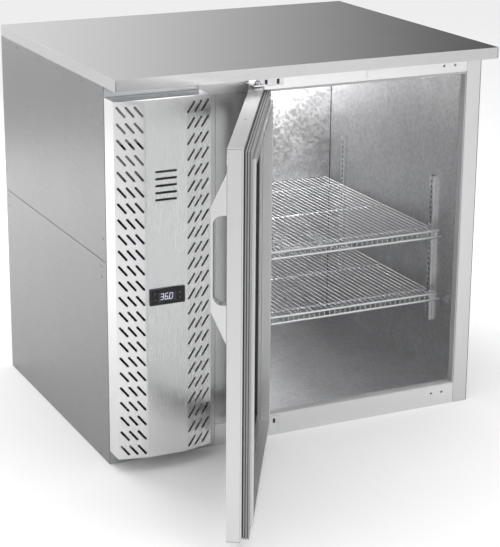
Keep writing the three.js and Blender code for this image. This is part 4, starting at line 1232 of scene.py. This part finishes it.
# ---------------------------------------------------------------- door
@dataclass
class Door:
    """The glazed door: frame, ribbed gasket, sealed glass unit, bow handle and lock."""

    pane: float = 0.004
    gap_in: float = 0.009
    gasket_width: float = 0.016
    groove: float = 0.0016
    bellows: tuple = ((0.0, 0.14, False), (0.14, 0.36, True), (0.36, 0.48, False), (0.48, 0.72, True),
                      (0.72, 0.82, False), (0.82, 1.0, True))
    frame_gap: float = 0.0022
    frame_width: float = 0.014
    raised: float = 0.0065

    def build(self) -> None:
        """Build the door's pieces."""
        Carried("door_frame", "steel_door", "door", 0.0008, 3).build()
        Carried("glazing_seal", "seal", "door", 0.0006, 2).build()
        Carried("door_handle", "steel_handle", "door", 0.0008, 3).build()
        Carried("lock_barrel", "chrome", "lock_barrel", 0.0005, 2).build()
        Carried("lock_bolt", "chrome", "lock_bolt", 0.0004, 2).build()
        self.glazing()
        self.gasket()
        self.edge_details()

    def glazing(self) -> None:
        """Build the sealed unit: two panes and the spacer between them."""
        low, high = door_box("glass_unit")
        outer = open_door(block("glass_pane_outer", low, (high.x, low.y + self.pane, high.z), 0.0004))
        inner = open_door(block("glass_pane_inner", (low.x, high.y - self.pane, low.z), high, 0.0004))
        Workshop.hand_over(outer, "door", "glass", "glass_unit")
        Workshop.hand_over(inner, "door", "glass")
        shell = block("glass_spacer", (low.x + 0.0002, low.y + self.pane + 0.0001, low.z + 0.0002),
                      (high.x - 0.0002, high.y - self.pane - 0.0001, high.z - 0.0002), 0)
        edit(shell)
        choose_faces(shell, lambda face: abs(face.normal.y) > 0.9)
        bpy.ops.mesh.inset(thickness=self.gap_in, use_individual=True)
        bpy.ops.mesh.bridge_edge_loops()
        bpy.ops.object.mode_set(mode="OBJECT")
        finish_with(shell, "BEVEL", width=0.0003, segments=2, limit_method="ANGLE",
                    angle_limit=math.radians(40), use_clamp_overlap=True)
        smooth(shell)
        Workshop.hand_over(open_door(shell), "door", "spacer")

    def hoop(self, name: str, low: Vector, high: Vector, width: float, ease: float = 0.0003) -> bpy.types.Object:
        """Make a rectangular hoop of solid section in the shut door's plane.

        Args:
            name: the piece's name.
            low: its lowest corner.
            high: its highest corner.
            width: its section's width.
            ease: how far its edges are rounded over.

        Returns:
            The hoop.
        """
        obj = block(name, low, high, 0)
        edit(obj)
        choose_faces(obj, lambda face: abs(face.normal.y) > 0.9)
        bpy.ops.mesh.inset(thickness=width, use_individual=True)
        bpy.ops.mesh.bridge_edge_loops()
        bpy.ops.object.mode_set(mode="OBJECT")
        finish_with(obj, "BEVEL", width=ease, segments=2, limit_method="ANGLE",
                    angle_limit=math.radians(40), use_clamp_overlap=True)
        smooth(obj)
        return obj

    def gasket(self) -> None:
        """Build the bellows gasket, rib on groove with the grooves coloured near black as painted shade, and the raised
        frame inside it.
        """
        low, high = door_box("door_gasket")
        deep = high.y - low.y
        ribs, grooves = [], []
        for start, stop, is_rib in self.bellows:
            sunk = 0.0 if is_rib else self.groove
            part = self.hoop("rib" if is_rib else "groove",
                             Vector((low.x + sunk, low.y + start * deep, low.z + sunk)),
                             Vector((high.x - sunk, low.y + stop * deep, high.z - sunk)),
                             self.gasket_width - 2 * sunk, 0.0004 if is_rib else 0.0001)
            (ribs if is_rib else grooves).append(part)
        Workshop.hand_over(open_door(join("gasket_ribs", ribs)), "door", "vinyl", "door_gasket")
        # The grooves' near-black colour is painted shade in the gasket's recesses.
        Workshop.hand_over(open_door(join("gasket_grooves_painted_shade", grooves)), "door", "groove")
        inner = self.gasket_width + self.frame_gap
        raised = self.hoop("door_raised_frame", Vector((low.x + inner, low.y + 0.0001, low.z + inner)),
                           Vector((high.x - inner, high.y + self.raised, high.z - inner)), self.frame_width, 0.0008)
        Workshop.hand_over(open_door(raised), "door", "steel_door")

    def edge_details(self) -> None:
        """Add the frame's corner seams and the plug in its top edge."""
        low, high = door_box("door_frame")
        hair = 0.00035
        drop = 0.0022
        pieces = [
            block("seam", (high.x - 0.004, low.y + 0.0006, high.z - drop - hair),
                  (high.x + 0.00004, high.y - 0.003, high.z - drop + hair), 0),
            block("seam", (high.x - 0.004, low.y + 0.0006, low.z + drop - hair),
                  (high.x + 0.00004, high.y - 0.003, low.z + drop + hair), 0),
            block("seam", (high.x - 0.004, high.y - 0.0030, low.z + drop),
                  (high.x + 0.00004, high.y - 0.0026, high.z - drop), 0),
        ]
        for piece in pieces:
            piece.data.transform(Matrix.Translation((-0.00002, 0, 0)))
        Workshop.hand_over(open_door(join("door_edge_seams", pieces)), "door", "joint")
        plug = rod("door_top_plug", (0.32, -0.002, high.z - 0.004), (0.32, -0.002, high.z + 0.0002), 0.0032, 20, 0.2)
        Workshop.hand_over(open_door(plug), "door", "rivet")


# ---------------------------------------------------------------- studio
@dataclass
class Studio:
    """The pale floor, the soft lights and the camera."""

    stand: tuple = (-1.6995, -3.5818, 1.5434)
    forward: tuple = (0.4027, 0.8679, -0.2907)
    roll: float = 0.14
    lens: float = 113.5
    shift: tuple = (0.055, -0.043)
    floor_size: float = 60.0
    dusk: tuple = (0.84, 0.50, 0.10)

    def build(self) -> None:
        """Build the floor, lights, surroundings and camera."""
        self.floor()
        self.surroundings()
        self.lights()
        self.camera()

    def floor(self) -> None:
        """Lay the pale floor under the case."""
        deselect()
        bpy.ops.mesh.primitive_plane_add(size=self.floor_size, location=(0, 0, -0.0005))
        obj = settle("studio_floor")
        shader = Shader("studio_floor")
        speck = shader.noise(shader.place((1.0, 1.0, 1.0)), 2.0, 2.0)
        shader.link(shader.tint(speck, (0.93, 0.93, 0.93), (0.95, 0.95, 0.95)), shader.surface.inputs["Base Color"])
        shader.set(Roughness=0.9, Specular_IOR_Level=0.1)
        obj.data.materials.append(shader.material)

    def surroundings(self) -> None:
        """Light the scene softly from all round, dim only far to the back right."""
        world = bpy.data.worlds.new("studio")
        bpy.context.scene.world = world
        world.use_nodes = True
        tree = world.node_tree
        back = next(node for node in tree.nodes if node.type == "BACKGROUND")
        where = tree.nodes.new("ShaderNodeTexCoord")
        aim = tree.nodes.new("ShaderNodeVectorMath")
        aim.operation = "DOT_PRODUCT"
        aim.inputs[1].default_value = Vector(self.dusk).normalized()
        tree.links.new(where.outputs["Generated"], aim.inputs[0])
        ramp = tree.nodes.new("ShaderNodeMapRange")
        for key, value in (("From Min", 0.72), ("From Max", 0.95), ("To Min", 0.94), ("To Max", 0.0)):
            ramp.inputs[key].default_value = value
        ramp.interpolation_type = "SMOOTHSTEP"
        tree.links.new(aim.outputs["Value"], ramp.inputs["Value"])
        tree.links.new(ramp.outputs["Result"], back.inputs["Strength"])
        back.inputs["Color"].default_value = (1.0, 1.0, 1.0, 1.0)

    def lamp(self, name: str, place: Vector, aim: Vector, size: tuple[float, float], power: float) -> None:
        """Add one soft area light.

        Args:
            name: the light's name.
            place: where it stands.
            aim: the point it faces.
            size: its width and height.
            power: its power in watts.
        """
        data = bpy.data.lights.new(name, "AREA")
        data.shape = "RECTANGLE"
        data.size, data.size_y = size
        data.energy = power
        obj = bpy.data.objects.new(name, data)
        obj.location = place
        obj.rotation_euler = (Vector(aim) - Vector(place)).to_track_quat("-Z", "Y").to_euler()
        obj.visible_camera = False
        bpy.context.scene.collection.objects.link(obj)

    def lights(self) -> None:
        """Add the overhead, back-left and front lights."""
        self.lamp("overhead", (0.0, -0.4, 3.4), (0.0, 0.0, 0.4), (4.0, 4.0), 40.0)
        self.lamp("back_left", (-1.3, 2.6, 1.3), (0.0, 0.0, 0.86), (2.0, 1.4), 40.0)
        self.lamp("front", (0.9, -3.2, 1.3), (0.15, 0.2, 0.5), (1.6, 1.4), 20.0)
        liner_low, liner_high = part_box("liner")
        middle_x = (liner_low.x + liner_high.x) / 2
        self.lamp("cavity", (middle_x + 0.15, liner_low.y + 0.24, liner_high.z - 0.10),
                  (middle_x - 0.10, liner_high.y, liner_high.z - 0.12), (0.16, 0.12), 4.0)

    def camera(self) -> None:
        """Set the camera."""
        data = bpy.data.cameras.new("camera")
        data.lens = self.lens
        data.sensor_width = 36.0
        data.shift_x, data.shift_y = self.shift
        obj = bpy.data.objects.new("camera", data)
        turn = Vector(self.forward).to_track_quat("-Z", "Y").to_matrix().to_4x4()
        obj.matrix_world = (Matrix.Translation(Vector(self.stand)) @ turn
                            @ Matrix.Rotation(math.radians(self.roll), 4, "Z"))
        bpy.context.scene.collection.objects.link(obj)
        bpy.context.scene.camera = obj
        bpy.context.scene.view_settings.view_transform = "Standard"


def main() -> None:
    """Build the refrigerator and its studio, and report each piece."""
    logging.basicConfig(level=logging.INFO, format="%(name)s: %(message)s")
    Studio().build()
    Worktop().build()
    SideSkin().build()
    Cabinet().build()
    SlottedPanel().build()
    Controller().build()
    WireShelf("shelf_lower").build()
    WireShelf("shelf_upper").build()
    Door().build()
    deselect()


if __name__ == "__main__":
    main()
